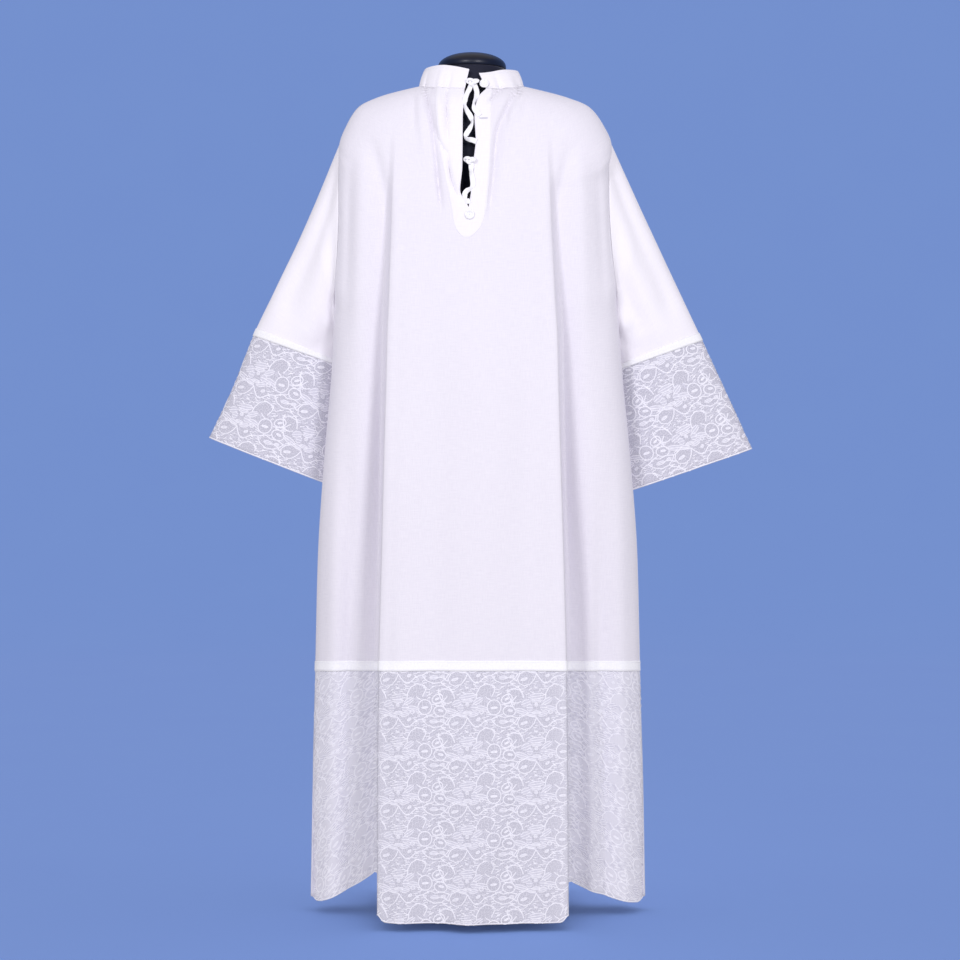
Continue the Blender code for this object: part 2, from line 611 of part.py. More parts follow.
def make_buttons(material, collection):
    x, z = PLACKET_BUTTON
    y, lean = placket_face(z)
    make_button("placket_button", Vector((x, y, z)), lean, material, collection)
    x, share = COLLAR_BUTTON
    angle = math.degrees(math.asin((x - GIRTHS[0][1]) / GIRTHS[0][0]))
    low, top = collar_edges(angle, angle)
    seat = low.lerp(top, share)
    lean = (top.y - low.y) / (top.z - low.z)
    tilt = math.atan(lean)
    seat += Vector((0, -math.cos(tilt), math.sin(tilt))) * (BAND + LAID_GAP)
    make_button("collar_button", seat, lean, material, collection)


def make_lacing(material, collection):
    """Flat strands over the slit, between the knots."""
    half = LACING_WIDTH / 2
    for name, route in LACING.items():
        points = [Vector((x, 0, z)) for x, z in route]
        rings = []
        for i, point in enumerate(points):
            along = points[min(i + 1, len(points) - 1)] - points[max(i - 1, 0)]
            side = Vector((-along.z, 0, along.x)).normalized() * half
            corners = []
            for p, out in ((-1, 0), (1, 0), (1, LACING_THICKNESS), (-1, LACING_THICKNESS)):
                corner = point + side * p
                corner.y = placket_face(corner.z)[0] - LAID_GAP * 3 - out
                corners.append(corner)
            rings.append(corners)
        closed_loft("lacing_" + name, rings, material, collection)
    for name, (x, z, wide, high, deep, out) in KNOTS.items():
        bpy.ops.mesh.primitive_uv_sphere_add(segments=16, ring_count=10, radius=1)
        knot = bpy.context.object
        knot.name = "knot_" + name
        for vertex in knot.data.vertices:
            vertex.co = Vector((vertex.co.x * wide, vertex.co.y * deep, vertex.co.z * high))
        knot.location = (x, placket_face(z)[0] - out, z)
        knot.data.materials.append(material)
        move_to(knot, collection)


def main():
    for old in list(bpy.data.objects):
        bpy.data.objects.remove(old)
    collection = bpy.data.collections.new("alb_robe")
    bpy.context.scene.collection.children.link(collection)

    cloth = make_material("white cotton", (0.88, 0.88, 0.91), 0.85)
    lace = make_material("white floral lace", (0.78, 0.78, 0.84), 0.8)
    tape = make_material("white woven tape", (0.95, 0.95, 0.97), 0.6)
    form = make_material("black form cover", (0.012, 0.013, 0.022), 0.45)
    cap = make_material("gloss black cap", (0.008, 0.009, 0.02), 0.15)
    metal = make_material("brushed steel", (0.6, 0.6, 0.62), 0.35, 1.0)
    pearl = make_material("white button", (0.85, 0.85, 0.86), 0.25)

    make_front(cloth, collection)
    make_back(cloth, collection)
    make_placket(cloth, collection)
    make_collar(cloth, collection)
    make_hem_tape(tape, collection)
    make_hem_lace(lace, collection)
    make_sleeve("left", LEFT_SLEEVE, -1, cloth, lace, tape, collection)
    make_sleeve("right", RIGHT_SLEEVE, 1, cloth, lace, tape, collection)
    make_buttons(pearl, collection)
    make_lacing(tape, collection)
    make_form(form, cap, metal, collection)


main()
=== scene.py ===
# %% [markdown]
# # A white alb on a dress form
# An alb is a long, wide liturgical robe of light cotton. This one has a stand collar, a slit
# neck that is laced with tape, and deep lace at the hem and cuffs. The fixed frame is loaded
# first: it gives every piece its place, and each soft solid in it is then replaced by cloth.

# %% Load the fixed frame
import math

import bmesh
import bpy
import numpy as np
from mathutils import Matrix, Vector


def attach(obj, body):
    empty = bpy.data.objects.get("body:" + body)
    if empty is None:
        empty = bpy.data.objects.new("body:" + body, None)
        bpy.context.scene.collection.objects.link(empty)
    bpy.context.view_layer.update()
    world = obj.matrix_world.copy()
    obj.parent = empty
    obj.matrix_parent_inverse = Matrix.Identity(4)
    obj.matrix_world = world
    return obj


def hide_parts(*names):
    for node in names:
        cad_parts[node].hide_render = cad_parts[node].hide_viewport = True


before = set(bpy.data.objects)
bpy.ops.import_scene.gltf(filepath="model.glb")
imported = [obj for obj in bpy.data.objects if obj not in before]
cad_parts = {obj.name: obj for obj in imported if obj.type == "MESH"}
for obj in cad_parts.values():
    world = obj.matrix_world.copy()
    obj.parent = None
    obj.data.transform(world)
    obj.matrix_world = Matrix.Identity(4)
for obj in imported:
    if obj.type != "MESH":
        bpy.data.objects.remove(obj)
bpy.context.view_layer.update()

print("nodes to dress:", len(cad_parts))

# %% [markdown]
# ## Cutting tables
# A dressmaker works from a table of measures. These are girths from the neckline to the hem,
# one row each: how wide the robe is, where its side seam runs, how far out the middle of the
# front and back lie, and where two long folds bound the centre panel. A monotone cubic runs
# smoothly through such a table and never overshoots, so a waist stays a waist.

# %% Girths of the robe and a smooth line through any table
GIRTH_COLUMNS = (
    "half mid_x side_z side_y front_y front_z back_y back_z"
    " fold_left fold_right depth lift back_square"
).split()
GIRTHS = (
    (0.0865, -0.0010, 1.3870, 0.000, -0.078, 1.371, 0.070, 1.391, -0.058, 0.058, 0.000, 0.000, 0.80),
    (0.1225, -0.0010, 1.3790, 0.000, -0.093, 1.352, 0.085, 1.378, -0.078, 0.078, 0.000, 0.000, 0.80),
    (0.1590, 0.0005, 1.3700, 0.000, -0.106, 1.320, 0.099, 1.357, -0.100, 0.100, 0.000, 0.000, 0.80),
    (0.1920, 0.0030, 1.3560, 0.000, -0.115, 1.280, 0.110, 1.325, -0.122, 0.121, 0.001, 0.000, 0.80),
    (0.2155, 0.0050, 1.3250, 0.000, -0.122, 1.237, 0.118, 1.280, -0.125, 0.123, 0.005, 0.000, 0.80),
    (0.2288, 0.0059, 1.2900, 0.000, -0.128, 1.197, 0.124, 1.237, -0.127, 0.125, 0.010, 0.000, 0.80),
    (0.2250, 0.0030, 1.2550, 0.036, -0.132, 1.169, 0.128, 1.195, -0.129, 0.127, 0.016, 0.001, 0.80),
    (0.2247, 0.0032, 1.1950, 0.052, -0.136, 1.115, 0.131, 1.135, -0.131, 0.130, 0.022, 0.002, 0.85),
    (0.2270, 0.0043, 1.1250, 0.053, -0.139, 1.060, 0.134, 1.075, -0.133, 0.133, 0.030, 0.003, 0.95),
    (0.2334, 0.0057, 1.0600, 0.046, -0.142, 1.005, 0.137, 1.015, -0.135, 0.136, 0.039, 0.004, 1.05),
    (0.2379, 0.0067, 1.0150, 0.000, -0.145, 0.960, 0.140, 0.965, -0.137, 0.139, 0.048, 0.006, 1.20),
    (0.2446, 0.0084, 0.9050, 0.000, -0.150, 0.875, 0.145, 0.880, -0.139, 0.141, 0.063, 0.008, 1.30),
    (0.2565, 0.0090, 0.7750, 0.000, -0.155, 0.760, 0.150, 0.765, -0.142, 0.144, 0.081, 0.006, 1.20),
    (0.2690, 0.0095, 0.5950, 0.000, -0.161, 0.595, 0.156, 0.595, -0.146, 0.149, 0.098, 0.003, 1.00),
    (0.2735, 0.0095, 0.4108, 0.000, -0.168, 0.426, 0.162, 0.411, -0.150, 0.153, 0.111, 0.000, 0.85),
    (0.2790, 0.0100, 0.2200, 0.000, -0.173, 0.227, 0.167, 0.220, -0.152, 0.155, 0.118, 0.018, 0.80),
    (0.2825, 0.0100, 0.0140, 0.000, -0.178, 0.012, 0.172, 0.013, -0.152, 0.156, 0.135, 0.045, 0.80),
)
NECK_ROW, SHOULDER_TIP_ROW, SLIT_END_ROW, UNDERARM_ROW, TAPE_ROW, HEM_ROW = 0, 5, 6, 10, 14, 16
SLIT = (  # X of the placket's left side, the slit's left and right, and the placket's right
    (-0.0400, -0.0127, 0.0255, 0.0300),
    (-0.0390, -0.0135, 0.0105, 0.0292),
    (-0.0375, -0.0155, 0.0050, 0.0285),
    (-0.0355, -0.0157, 0.0072, 0.0275),
    (-0.0340, -0.0160, 0.0025, 0.0262),
    (-0.0325, -0.0195, 0.0000, 0.0250),
    (-0.0315, -0.0065, -0.0040, 0.0235),
)


def smooth_line(knots, values, at):
    """A smooth line through values at the knots, read at the places in at."""
    knots, at = np.asarray(knots, float), np.asarray(at, float)
    values = np.asarray(values, float).reshape(len(knots), -1)
    gap = np.diff(knots)[:, None]
    slope = np.diff(values, axis=0) / gap
    product = slope[:-1] * slope[1:]
    both = np.where(product > 0, 2 * product / (slope[:-1] + slope[1:] + (product <= 0)), 0)
    tangent = np.vstack([slope[:1], both, slope[-1:]])
    place = np.clip(at.ravel(), knots[0], knots[-1])
    low = np.clip(np.searchsorted(knots, place, side="right") - 1, 0, len(knots) - 2)
    s = ((place - knots[low]) / gap[low, 0])[:, None]
    out = (
        values[low] * (1 + 2 * s) * (1 - s) ** 2
        + tangent[low] * gap[low] * s * (1 - s) ** 2
        + values[low + 1] * (3 - 2 * s) * s**2
        - tangent[low + 1] * gap[low] * (1 - s) * s**2
    )
    return out.reshape(at.shape if values.shape[1] == 1 else at.shape + (-1,))


def from_table(table, at):
    """Reads a table at some places; its first column says where each row stands."""
    table = np.array(table)
    return smooth_line(table[:, 0], table[:, 1:], at)


def girth(v):
    """The measures at row v, by name."""
    return dict(zip(GIRTH_COLUMNS, smooth_line(range(len(GIRTHS)), GIRTHS, [v])[0]))


def armhole_y(v, side_y):
    """How far the side seam lies from the middle at row v; the armhole's top is round."""
    above = (v > SHOULDER_TIP_ROW) & (v < SHOULDER_TIP_ROW + 1)
    reach = girth(SHOULDER_TIP_ROW + 1)["side_y"]
    return np.where(above, reach * np.sqrt(np.clip(v - SHOULDER_TIP_ROW, 0, 1)), side_y)


def slit(v):
    """The slit and the placket's sides at row v, as X values."""
    return smooth_line(range(len(SLIT)), SLIT, [min(v, SLIT_END_ROW)])[0]


print("rows of girths:", len(GIRTHS), "and the hem's half width:", girth(HEM_ROW)["half"])

# %% [markdown]
# ## Creases
# Cloth falls in folds that differ in length, depth and spacing, so each one is listed, in
# millimetres: how wide it is to its left and right, then a path of (height, X, how far it
# stands out). A minus sign is a valley. Short sharp ones are the gathers that the collar
# holds; long soft ones hang from the shoulders. A cloth simulation could make such folds
# too, but listing them costs less and stays put.

# %% Creases of the front and the back
FRONT_CREASES = (
    # gathers under the left half of the collar
    (3.4, 4.4, ((1380, -78, -6), (1345, -73, -11.5), (1317, -66.7, -10.5), (1280, -61.8, -7.8),
                (1247, -58.5, -8.5), (1214, -55.2, -11), (1192, -52.7, -10), (1158, -49, 0))),
    (6, 5, ((1378, -86, 3), (1310, -83, 3), (1245, -77, 0))),
    (3, 3.4, ((1378, -95, -3), (1335, -94.5, -3.2), (1290, -93, 0))),
    (2.8, 3.4, ((1380, -39, -5), (1350, -41.5, -9), (1305, -40.5, -7), (1272, -39.5, 0))),
    (7, 6, ((1376, -56, 3), (1320, -53, 3.6), (1262, -50, 0))),
    (2.6, 2.6, ((1380, -61, -3), (1366, -60, -3.4), (1345, -57, 0))),
    (2.6, 2.6, ((1380, -50, -3), (1362, -50, -3), (1338, -48, 0))),
    (3.4, 3.4, ((1308, -61, 0), (1290, -56, -5), (1268, -47, -6), (1256, -37, 0))),
    (3.2, 3.4, ((1264, -40, 0), (1240, -37.5, -6.5), (1217, -33.8, -8.5), (1199, -27.8, -6.5),
                (1186, -23.5, 0))),
    # gathers under the right half
    (3.6, 7.8, ((1380, 80, -5), (1358, 67.5, -8.5), (1331, 54.5, -10), (1297.5, 41.5, -10.5),
                (1264, 37.5, -10.5), (1222, 34.5, -10), (1180, 30, -8), (1140, 27, 0))),
    (3, 3.4, ((1380, 52, -4), (1369, 43.5, -9), (1354, 32, -8), (1343, 25, 0))),
    (2.8, 3, ((1350, 60, 0), (1330, 58, -3.6), (1300, 56.5, 0))),
    (5, 6, ((1378, 86, 3), (1300, 60, 3), (1230, 50, 0))),
    (2.6, 3, ((1380, 74, -2), (1366, 76, -3.4), (1338, 76, 0))),
    (3.6, 4, ((1380, 90, -2), (1340, 86, -2.4), (1280, 80, 0))),
    # folds from the shoulders into the long ones
    (16, 10, ((1300, -170, 0), (1235, -152, -6.5), (1170, -142, -6), (1080, -139, 0))),
    (14, 15, ((1280, -182, 0), (1200, -184, 4.5), (1080, -186, 4), (880, -192, 0))),
    (8, 10, ((1270, -200, 0), (1150, -204, -4), (950, -208, 0))),
    (10, 15, ((1290, 166, 0), (1225, 150, -6.5), (1165, 142, -6), (1070, 140, 0))),
    (15, 14, ((1275, 178, 0), (1190, 181, 4.5), (1070, 184, 4), (860, 192, 0))),
    (10, 8, ((1262, 206, 0), (1150, 214, -4), (960, 222, 0))),
    # the centre panel
    (20, 24, ((1150, -108, 0), (900, -114, 3.5), (500, -121, 5.5), (250, -120, 6.8),
              (12, -118, 6))),
    (26, 24, ((1100, -60, 0), (750, -54, -4.5), (350, -62, -5.8), (150, -64, -6.5), (12, -66, -5))),
    (30, 28, ((1050, 10, 0), (700, 18, 4), (300, 18, 0))),
    (25, 24, ((1080, 80, 0), (700, 86, -4.5), (250, 80, -5), (12, 84, -4.5))),
    (25, 20, ((300, 58, 0), (200, 44, 4), (95, 20, 6.5), (12, -4, 6.5))),
    (18, 18, ((240, 0, 0), (120, -18, -3.5), (12, -42, -4.5))),
    # the side panels
    (16, 14, ((900, -222, 0), (600, -228, 4.5), (300, -232, 6), (12, -238, 7))),
    (11, 12, ((820, -203, 0), (560, -202, -4.5), (300, -206, -6), (12, -208, -8))),
    (10, 11, ((740, 190, 0), (520, 194, 5), (280, 197, 7), (12, 200, 8))),
    (8, 10, ((700, 212, 0), (480, 213, -4), (250, 217, -5.5), (12, 221, -6))),
    (14, 15, ((850, 243, 0), (560, 248, 4), (300, 252, 5), (12, 256, 6))),
)  # fmt: skip
BACK_CREASES = (
    (4, 6, ((1400, -60, -3), (1330, -68, -3.2), (1240, -80, 0))),
    (3.5, 4, ((1400, -36, -2.8), (1345, -38, -1.6), (1280, -42, 0))),
    (5, 5, ((1400, -12, 2.4), (1320, -12, 2), (1230, -16, 0))),
    (3.5, 4, ((1400, 14, -3), (1330, 16, -2), (1250, 22, 0))),
    (5, 4, ((1400, 42, -2.8), (1320, 50, -3), (1220, 62, 0))),
    (4, 4, ((1400, 66, -2.2), (1350, 74, -1.4), (1300, 80, 0))),
    (12, 16, ((1290, -172, 0), (1210, -150, -7), (1120, -140, -5), (1020, -138, 0))),
    (16, 13, ((1285, 164, 0), (1200, 149, -6), (1130, 142, -5), (1030, 140, 0))),
    (22, 20, ((1200, -70, 0), (900, -78, 4), (500, -84, 5), (13, -90, 6))),
    (18, 22, ((1220, -20, 0), (900, -26, -5), (450, -32, -7), (13, -36, -9))),
    (24, 20, ((1150, 30, 0), (850, 34, 5), (400, 32, 6.5), (13, 30, 8))),
    (18, 18, ((1100, 82, 0), (800, 86, -4.5), (350, 92, -6), (13, 94, -8))),
    (14, 16, ((950, -226, 0), (600, -230, 5), (250, -236, 6), (13, -240, 7))),
    (12, 11, ((850, -200, 0), (500, -202, -5.5), (13, -206, -8))),
    (11, 12, ((850, 206, 0), (500, 208, -5), (13, 212, -7.5))),
    (15, 14, ((900, 240, 0), (500, 244, 5), (13, 250, 7))),
)  # fmt: skip

FINE, CRISP = 5.5, 1.35  # creases narrower than this, in mm, have a sharp bottom
RUN_ON = 0.02  # metres that a crease runs on past the ends of its path
# long soft waves: radians a metre along X and along Z, height, start
WAVES = (
    (31, 7, 0.0007, 0.3), (57, 11, 0.0004, 1.9), (83, -17, 0.00025, 4.1), (23, 19, 0.0005, 2.7),
)  # fmt: skip


def crease_lift(x, z, creases):
    """How far the creases bring the cloth out at these places."""
    lift = np.zeros_like(x)
    for left, right, path in creases:
        knots = np.array(path[::-1]) / 1000
        line = from_table(knots, z)
        off = x - line[..., 0]
        wide = np.where(off < 0, left, right) / 1000
        inside = (z >= knots[0, 0] - RUN_ON) & (z <= knots[-1, 0] + RUN_ON)
        sharp = CRISP if min(left, right) < FINE else 2.0
        lift += np.where(inside, line[..., 1] * np.exp(-(np.abs(off / wide) ** sharp)), 0)
    return lift


def slack(x, z, phase):
    """Small unevenness of cloth that hangs free, in metres, no two waves alike."""
    return sum(high * np.sin(fx * x + fz * z + start + phase) for fx, fz, high, start in WAVES)


print("creases placed:", len(FRONT_CREASES) + len(BACK_CREASES))

# %% [markdown]
# ## The cut of the body
# Each row of the body is a line across one panel. At a long fold the cloth rolls over an
# edge, goes in by a short wall that turns back under the centre panel, and comes out again
# on the side panel. These are the measures of that fold, of the hem and of the shoulders.

# %% Measures of the folds, the hem and the shoulders
FOLD_WALL = 0.011  # width of the wall that goes in
FOLD_VALLEY = 0.022  # from the fold's edge to the far side of its valley
FOLD_SHARE = 0.30  # the valley takes no more than this share of the side panel
FOLD_RETURN, LACE_RETURN = 0.024, 0.095  # the side panel comes back out over this width
FOLD_REST, LACE_REST = 0.50, 0.64  # share of the depth that the side panel keeps
FOLD_TUCK = 0.10  # how far the wall turns back under the panel, as a share of its depth
FOLD_ROLL = 0.0030  # the panel's edge stands out by this
ROLL_AT, ROLL_WIDE = 0.006, 0.009  # inside the edge, and over this width
HEM_CORNER = 0.011  # the hem is rounded up by this at a fold's edge and at the sides
CORNER_AT_FOLD, CORNER_AT_SIDE, CORNER_ROWS = 0.007, 0.008, 0.35  # and over this much
LIFT_LEFT, LIFT_RIGHT = 1.20, 0.85  # the valleys' hems hang unevenly
HEM_CLIMB = 1.4  # 1 would raise the side panel's hem in a straight line from the side to the fold
SQUARENESS = 0.58  # under 1 flattens the middle of a panel
SEAM_FADE = 2.5  # over 1 keeps the armhole seam's pull close to the seam
SEAM_CALM = 0.10  # creases die out over this share of the half width, so the seams stay put
SHOULDER_ROUNDING = 1.7  # the shoulders leave the seam level, then drop

print("long folds go in by up to", girth(HEM_ROW)["depth"], "m at the hem")

# %% [markdown]
# ## Columns of the mesh
# An edge of the mesh runs down every long fold and down both sides of the slit, so that they
# stay crisp: the columns between two such lines are spread evenly at every row. A panel
# could be drawn as one even grid, but its folds would then cut across the columns and blur.

# %% Columns of a panel
IN_SIDE, IN_VALLEY, IN_WALL = 24, 5, 12  # columns from the side seam to a long fold's edge
GATHERED = 40  # columns between a long fold and the placket, close enough for the gathers
BESIDE_SLIT, IN_SLIT, IN_HALF_BACK = 10, 5, 22  # columns of the rest of a panel
SIDE_BUNCH = 1.35  # over 1 draws the columns closer at the side seam
BELOW_SLIT = (-0.060, -0.018, 0.012, 0.056)  # the slit's columns fan out to these X
FAN_ROWS = 5  # over this many rows


def ease(x):
    """From 0 to 1 and level at both ends."""
    x = np.clip(x, 0, 1)
    return x * x * (3 - 2 * x)


def fold_widths(row):
    """Widths of a long fold's wall and of its whole valley."""
    valley = min(FOLD_VALLEY, (row["fold_left"] - row["mid_x"] + row["half"]) * FOLD_SHARE)
    return valley * FOLD_WALL / FOLD_VALLEY, valley


def columns(v, back):
    """X of the mesh's columns across a panel at row v."""
    row = girth(v)
    left, right = row["mid_x"] - row["half"], row["mid_x"] + row["half"]
    fold_left, fold_right = row["fold_left"], row["fold_right"]
    wall, valley = fold_widths(row)
    middle, counts = [0.0], [IN_HALF_BACK, IN_HALF_BACK]
    if not back:
        fan = np.clip((v - SLIT_END_ROW) / FAN_ROWS, 0, 1)
        middle = slit(v) + (np.array(BELOW_SLIT) - slit(v)) * fan
        counts = [GATHERED, BESIDE_SLIT, IN_SLIT, BESIDE_SLIT, GATHERED]
    marks = [fold_left - valley, fold_left - wall, fold_left, *middle]
    marks += [fold_right, fold_right + wall, fold_right + valley]
    counts = [IN_VALLEY, IN_WALL, *counts, IN_WALL, IN_VALLEY]
    inner = [np.linspace(a, b, n, endpoint=False) for a, b, n in zip(marks, marks[1:], counts)]
    beside = np.linspace(0, 1, IN_SIDE + 1) ** SIDE_BUNCH
    near = left + (marks[0] - left) * beside
    far = right - (right - marks[-1]) * beside
    return np.concatenate([near[:-1], *inner, far[::-1]])


print("columns across the front:", len(columns(NECK_ROW, False)))

# %% [markdown]
# ## Rows of the mesh
# Seen from above, a row is a flattened arc from side seam to side seam. The long folds go in
# from that arc, the creases ride on it, and its height drops from the middle to the shoulders
# and climbs into each valley at the hem. All of it is one formula, read at the columns.

# %% Rows of a panel
ROW_STEP = 0.0052  # metres between rows


def body_line(x, v, back=False):
    """Points of row v at the columns x."""
    row = girth(v)
    side, half = "back" if back else "front", row["half"]
    from_middle = x - row["mid_x"]
    sine = np.clip(from_middle / half, -1, 1)
    out = np.sqrt(1 - sine**2) ** (row["back_square"] if back else SQUARENESS)
    seam_y = float(armhole_y(v, row["side_y"])) * (1 if back else -1)
    reach, depth = row[side + "_y"] - seam_y, row["depth"]

    # the long folds: how far past a fold's edge a point is, and how far in it goes there
    wall, _ = fold_widths(row)
    left_of, right_of = row["fold_left"] - x, x - row["fold_right"]
    past, at_left = np.maximum(left_of, right_of), left_of > right_of
    turn = np.where(at_left, 1.0, -1.0)
    in_lace = ease((v - TAPE_ROW + 2) / 3.5)
    width = FOLD_RETURN + (LACE_RETURN - FOLD_RETURN) * in_lace
    rest = FOLD_REST + (LACE_REST - FOLD_REST) * in_lace
    return_out = np.exp(-((np.maximum(0, past - wall) / width) ** 1.2))
    folded = np.where(past > 0, ease(past / wall) * (rest + (1 - rest) * return_out), 0)
    folded = folded * np.sqrt(out)
    y = row[side + "_y"] * out + seam_y * (1 - out) ** SEAM_FADE
    y = y - math.copysign(depth, reach) * folded
    roll = FOLD_ROLL * ease(depth / 0.03) * np.exp(-(((past + ROLL_AT) / ROLL_WIDE) ** 2))

    # heights: the shoulders drop to the sides, and the hem climbs into each valley
    rounding = SHOULDER_ROUNDING - (SHOULDER_ROUNDING - 1) * ease((v - SHOULDER_TIP_ROW + 1) / 3)
    drop = np.maximum(0, out - depth * folded / abs(reach)) ** rounding
    room = np.where(at_left, row["fold_left"] - row["mid_x"], row["mid_x"] - row["fold_right"])
    climb = np.clip((half - np.abs(from_middle)) / (half + room - wall), 0, 1) ** HEM_CLIMB
    climb = np.where(past > 0, ease(past / wall) * climb, 0)
    climb = climb * np.where(at_left, LIFT_LEFT, LIFT_RIGHT)
    z = row["side_z"] + (row[side + "_z"] - row["side_z"]) * drop + row["lift"] * climb
    near_hem = ease((v - HEM_ROW + CORNER_ROWS) / CORNER_ROWS)
    corner = np.exp(-((past / CORNER_AT_FOLD) ** 2))
    corner = corner + np.exp(-(((1 - np.abs(sine)) * half / CORNER_AT_SIDE) ** 2))
    z = z + HEM_CORNER * near_hem * corner

    # creases, and the wall's turn back under the centre panel
    lift = crease_lift(x, z, BACK_CREASES if back else FRONT_CREASES)
    lift = lift + slack(x, z, 2.0 if back else 0.0)
    calm = ease((1 - np.abs(sine)) / SEAM_CALM)
    y = y + math.copysign(1, reach) * (lift * calm + roll)
    in_wall = np.where((past > 0) & (past < wall), np.sin(np.pi * np.clip(past / wall, 0, 1)), 0)
    return np.stack([x + turn * in_wall * depth * FOLD_TUCK, y, z], axis=-1)


def levels(first, last, step=ROW_STEP):
    """Row values from first to last, about a step apart down the middle of the front."""
    line = [float(first)]
    for low in range(first, last):
        parts = math.ceil(abs(girth(low)["front_z"] - girth(low + 1)["front_z"]) / step)
        line += list(low + np.arange(1, parts + 1) / parts)
    return line


def body_grid(rows, back=False):
    """A panel as rows of points, left to right on the front and right to left on the back."""
    lines = [body_line(columns(v, back), v, back) for v in rows]
    return np.array([line[::-1] if back else line for line in lines])


front = body_grid(levels(NECK_ROW, TAPE_ROW))
back = body_grid(levels(NECK_ROW, TAPE_ROW), back=True)
print("front panel:", front.shape[:2], "back panel:", back.shape[:2], "rows and columns")

# %% [markdown]
# ## From a grid to cloth
# A grid of points becomes a mesh of quads. Its UV map is the flat cut, in metres: along a row
# it counts the length of the cloth, so a weave drawn on it follows every fold. A Solidify
# modifier gives the cloth its thickness, outwards. Each piece rides the fixed part and takes
# the place of one of its nodes.

# %% Mesh helpers
COTTON_THICK = 0.0009  # two layers at a hem look about this thick


def add_mesh(name, verts, faces, material, uv=None):
    """A smooth mesh object. uv gives one pair for each vertex."""
    mesh = bpy.data.meshes.new(name)
    mesh.from_pydata(np.asarray(verts).reshape(-1, 3).tolist(), [], faces)
    mesh.polygons.foreach_set("use_smooth", np.ones(len(mesh.polygons), dtype=bool))
    if uv is not None:
        corner = np.empty(len(mesh.loops), dtype=np.int32)
        mesh.loops.foreach_get("vertex_index", corner)
        layer = mesh.uv_layers.new(name="flat_cut")
        layer.data.foreach_set("uv", np.asarray(uv, np.float32).reshape(-1, 2)[corner].ravel())
    mesh.materials.append(material)
    mesh.update()
    piece = bpy.data.objects.new(name, mesh)
    bpy.context.scene.collection.objects.link(piece)
    return piece


def distances(points):
    """How far each point of a line, or of every row of a grid, is from the first one."""
    steps = np.linalg.norm(np.diff(points, axis=-2), axis=-1)
    return np.concatenate([np.zeros_like(steps[..., :1]), np.cumsum(steps, axis=-1)], axis=-1)


def flat_cut(grid, column=None):
    """How far each point is along its row, from a column (the middle one), and down it."""
    column = grid.shape[1] // 2 if column is None else column
    along, down = distances(grid), distances(grid[:, column])
    return np.stack([along - along[:, [column]], np.repeat(down[:, None], grid.shape[1], 1)], -1)


def grid_faces(rows, cols, closed=False, hole=None):
    """Quads of a grid; hole says which (row, column) are left open."""
    faces = []
    for r in range(rows - 1):
        for c in range(cols if closed else cols - 1):
            if hole is None or not hole(r, c):
                d = (c + 1) % cols
                faces.append((r * cols + c, (r + 1) * cols + c, (r + 1) * cols + d, r * cols + d))
    return faces


def dress(node):
    """The piece takes the place of a node of the frame, which is hidden."""
    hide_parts(node)


def cloth(name, grid, material, thick=COTTON_THICK, hole=None, uv=None):
    """A sheet of cloth on a grid, thickened outwards."""
    uv = flat_cut(grid) if uv is None else uv
    piece = add_mesh(name, grid, grid_faces(*grid.shape[:2], hole=hole), material, uv)
    wall = piece.modifiers.new("cloth_thickness", "SOLIDIFY")
    wall.thickness, wall.offset = thick, 1.0
    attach(piece, "root")
    return piece


print("a UV map named flat_cut carries every weave")

# %% [markdown]
# ## Finishes
# Every colour is written as an sRGB hex value and turned to linear by one function. One small
# helper adds a node, sets it and links it, so a material reads as a list of what it does.
# Most real finishes are two close tones of one colour, spread by some fine pattern that also
# raises the surface a little, so one more helper ends every material that way.

# %% Colour and node helpers
def linear(code):
    """A hex colour as linear RGBA."""
    parts = [int(code[i : i + 2], 16) / 255 for i in (0, 2, 4)]
    return [c / 12.92 if c <= 0.04045 else ((c + 0.055) / 1.055) ** 2.4 for c in parts] + [1.0]


def add_node(tree, kind, settings=None, links=None):
    """Adds a node. A key of settings is an input (by name or number) or a property."""
    node = tree.nodes.new(kind)
    for key, value in (settings or {}).items():
        if isinstance(key, int) or key in node.inputs:
            node.inputs[key].default_value = value
        else:
            setattr(node, key, value)
    for key, source in (links or {}).items():
        tree.links.new(node.inputs[key], source)
    return node


def new_material(name, **uniform):
    """A material with one Principled shader, whose even values are set on its own sockets."""
    material = bpy.data.materials.new(name)
    material.use_nodes = True
    shader = material.node_tree.nodes["Principled BSDF"]
    for socket, value in uniform.items():
        shader.inputs[socket.replace("_", " ")].default_value = value
    return material, material.node_tree, shader


def two_tone(tree, shader, pattern, dark, light, bump=None):
    """Ends a material: a pattern blends dark into light; bump is its strength and height."""
    tones = {"data_type": "RGBA", 6: linear(dark), 7: linear(light)}
    tint = add_node(tree, "ShaderNodeMix", tones, {0: pattern})
    tree.links.new(shader.inputs["Base Color"], tint.outputs[2])
    if bump:
        relief = {"Strength": bump[0], "Distance": bump[1]}
        raised = add_node(tree, "ShaderNodeBump", relief, {"Height": pattern})
        tree.links.new(shader.inputs["Normal"], raised.outputs[0])
    return tint


def speckle(tree, scale, **settings):
    """Noise in the object's own space, scale to the metre."""
    place = add_node(tree, "ShaderNodeTexCoord").outputs["Object"]
    settings = {"Scale": scale, **settings}
    return add_node(tree, "ShaderNodeTexNoise", settings, {"Vector": place}).outputs[0]


print("white turned to linear:", linear("FFFFFF"))

# %% [markdown]
# ## Slubbed cotton
# The robe is a light plain-weave cotton. Its threads are 0.3 mm apart, far too fine to see
# from here; what the eye gets is slubs, the thicker stretches of a thread, so they are drawn
# 1.2 mm apart, four times as coarse as the threads. Cotton scatters light, so it is rough
# and has a faint fuzz that lightens its edges. An image of cloth could be used instead, but
# noise stretched along the two threads never repeats and needs no file. Where two layers lie
# on each other less light goes through, so doubled cloth is whiter.

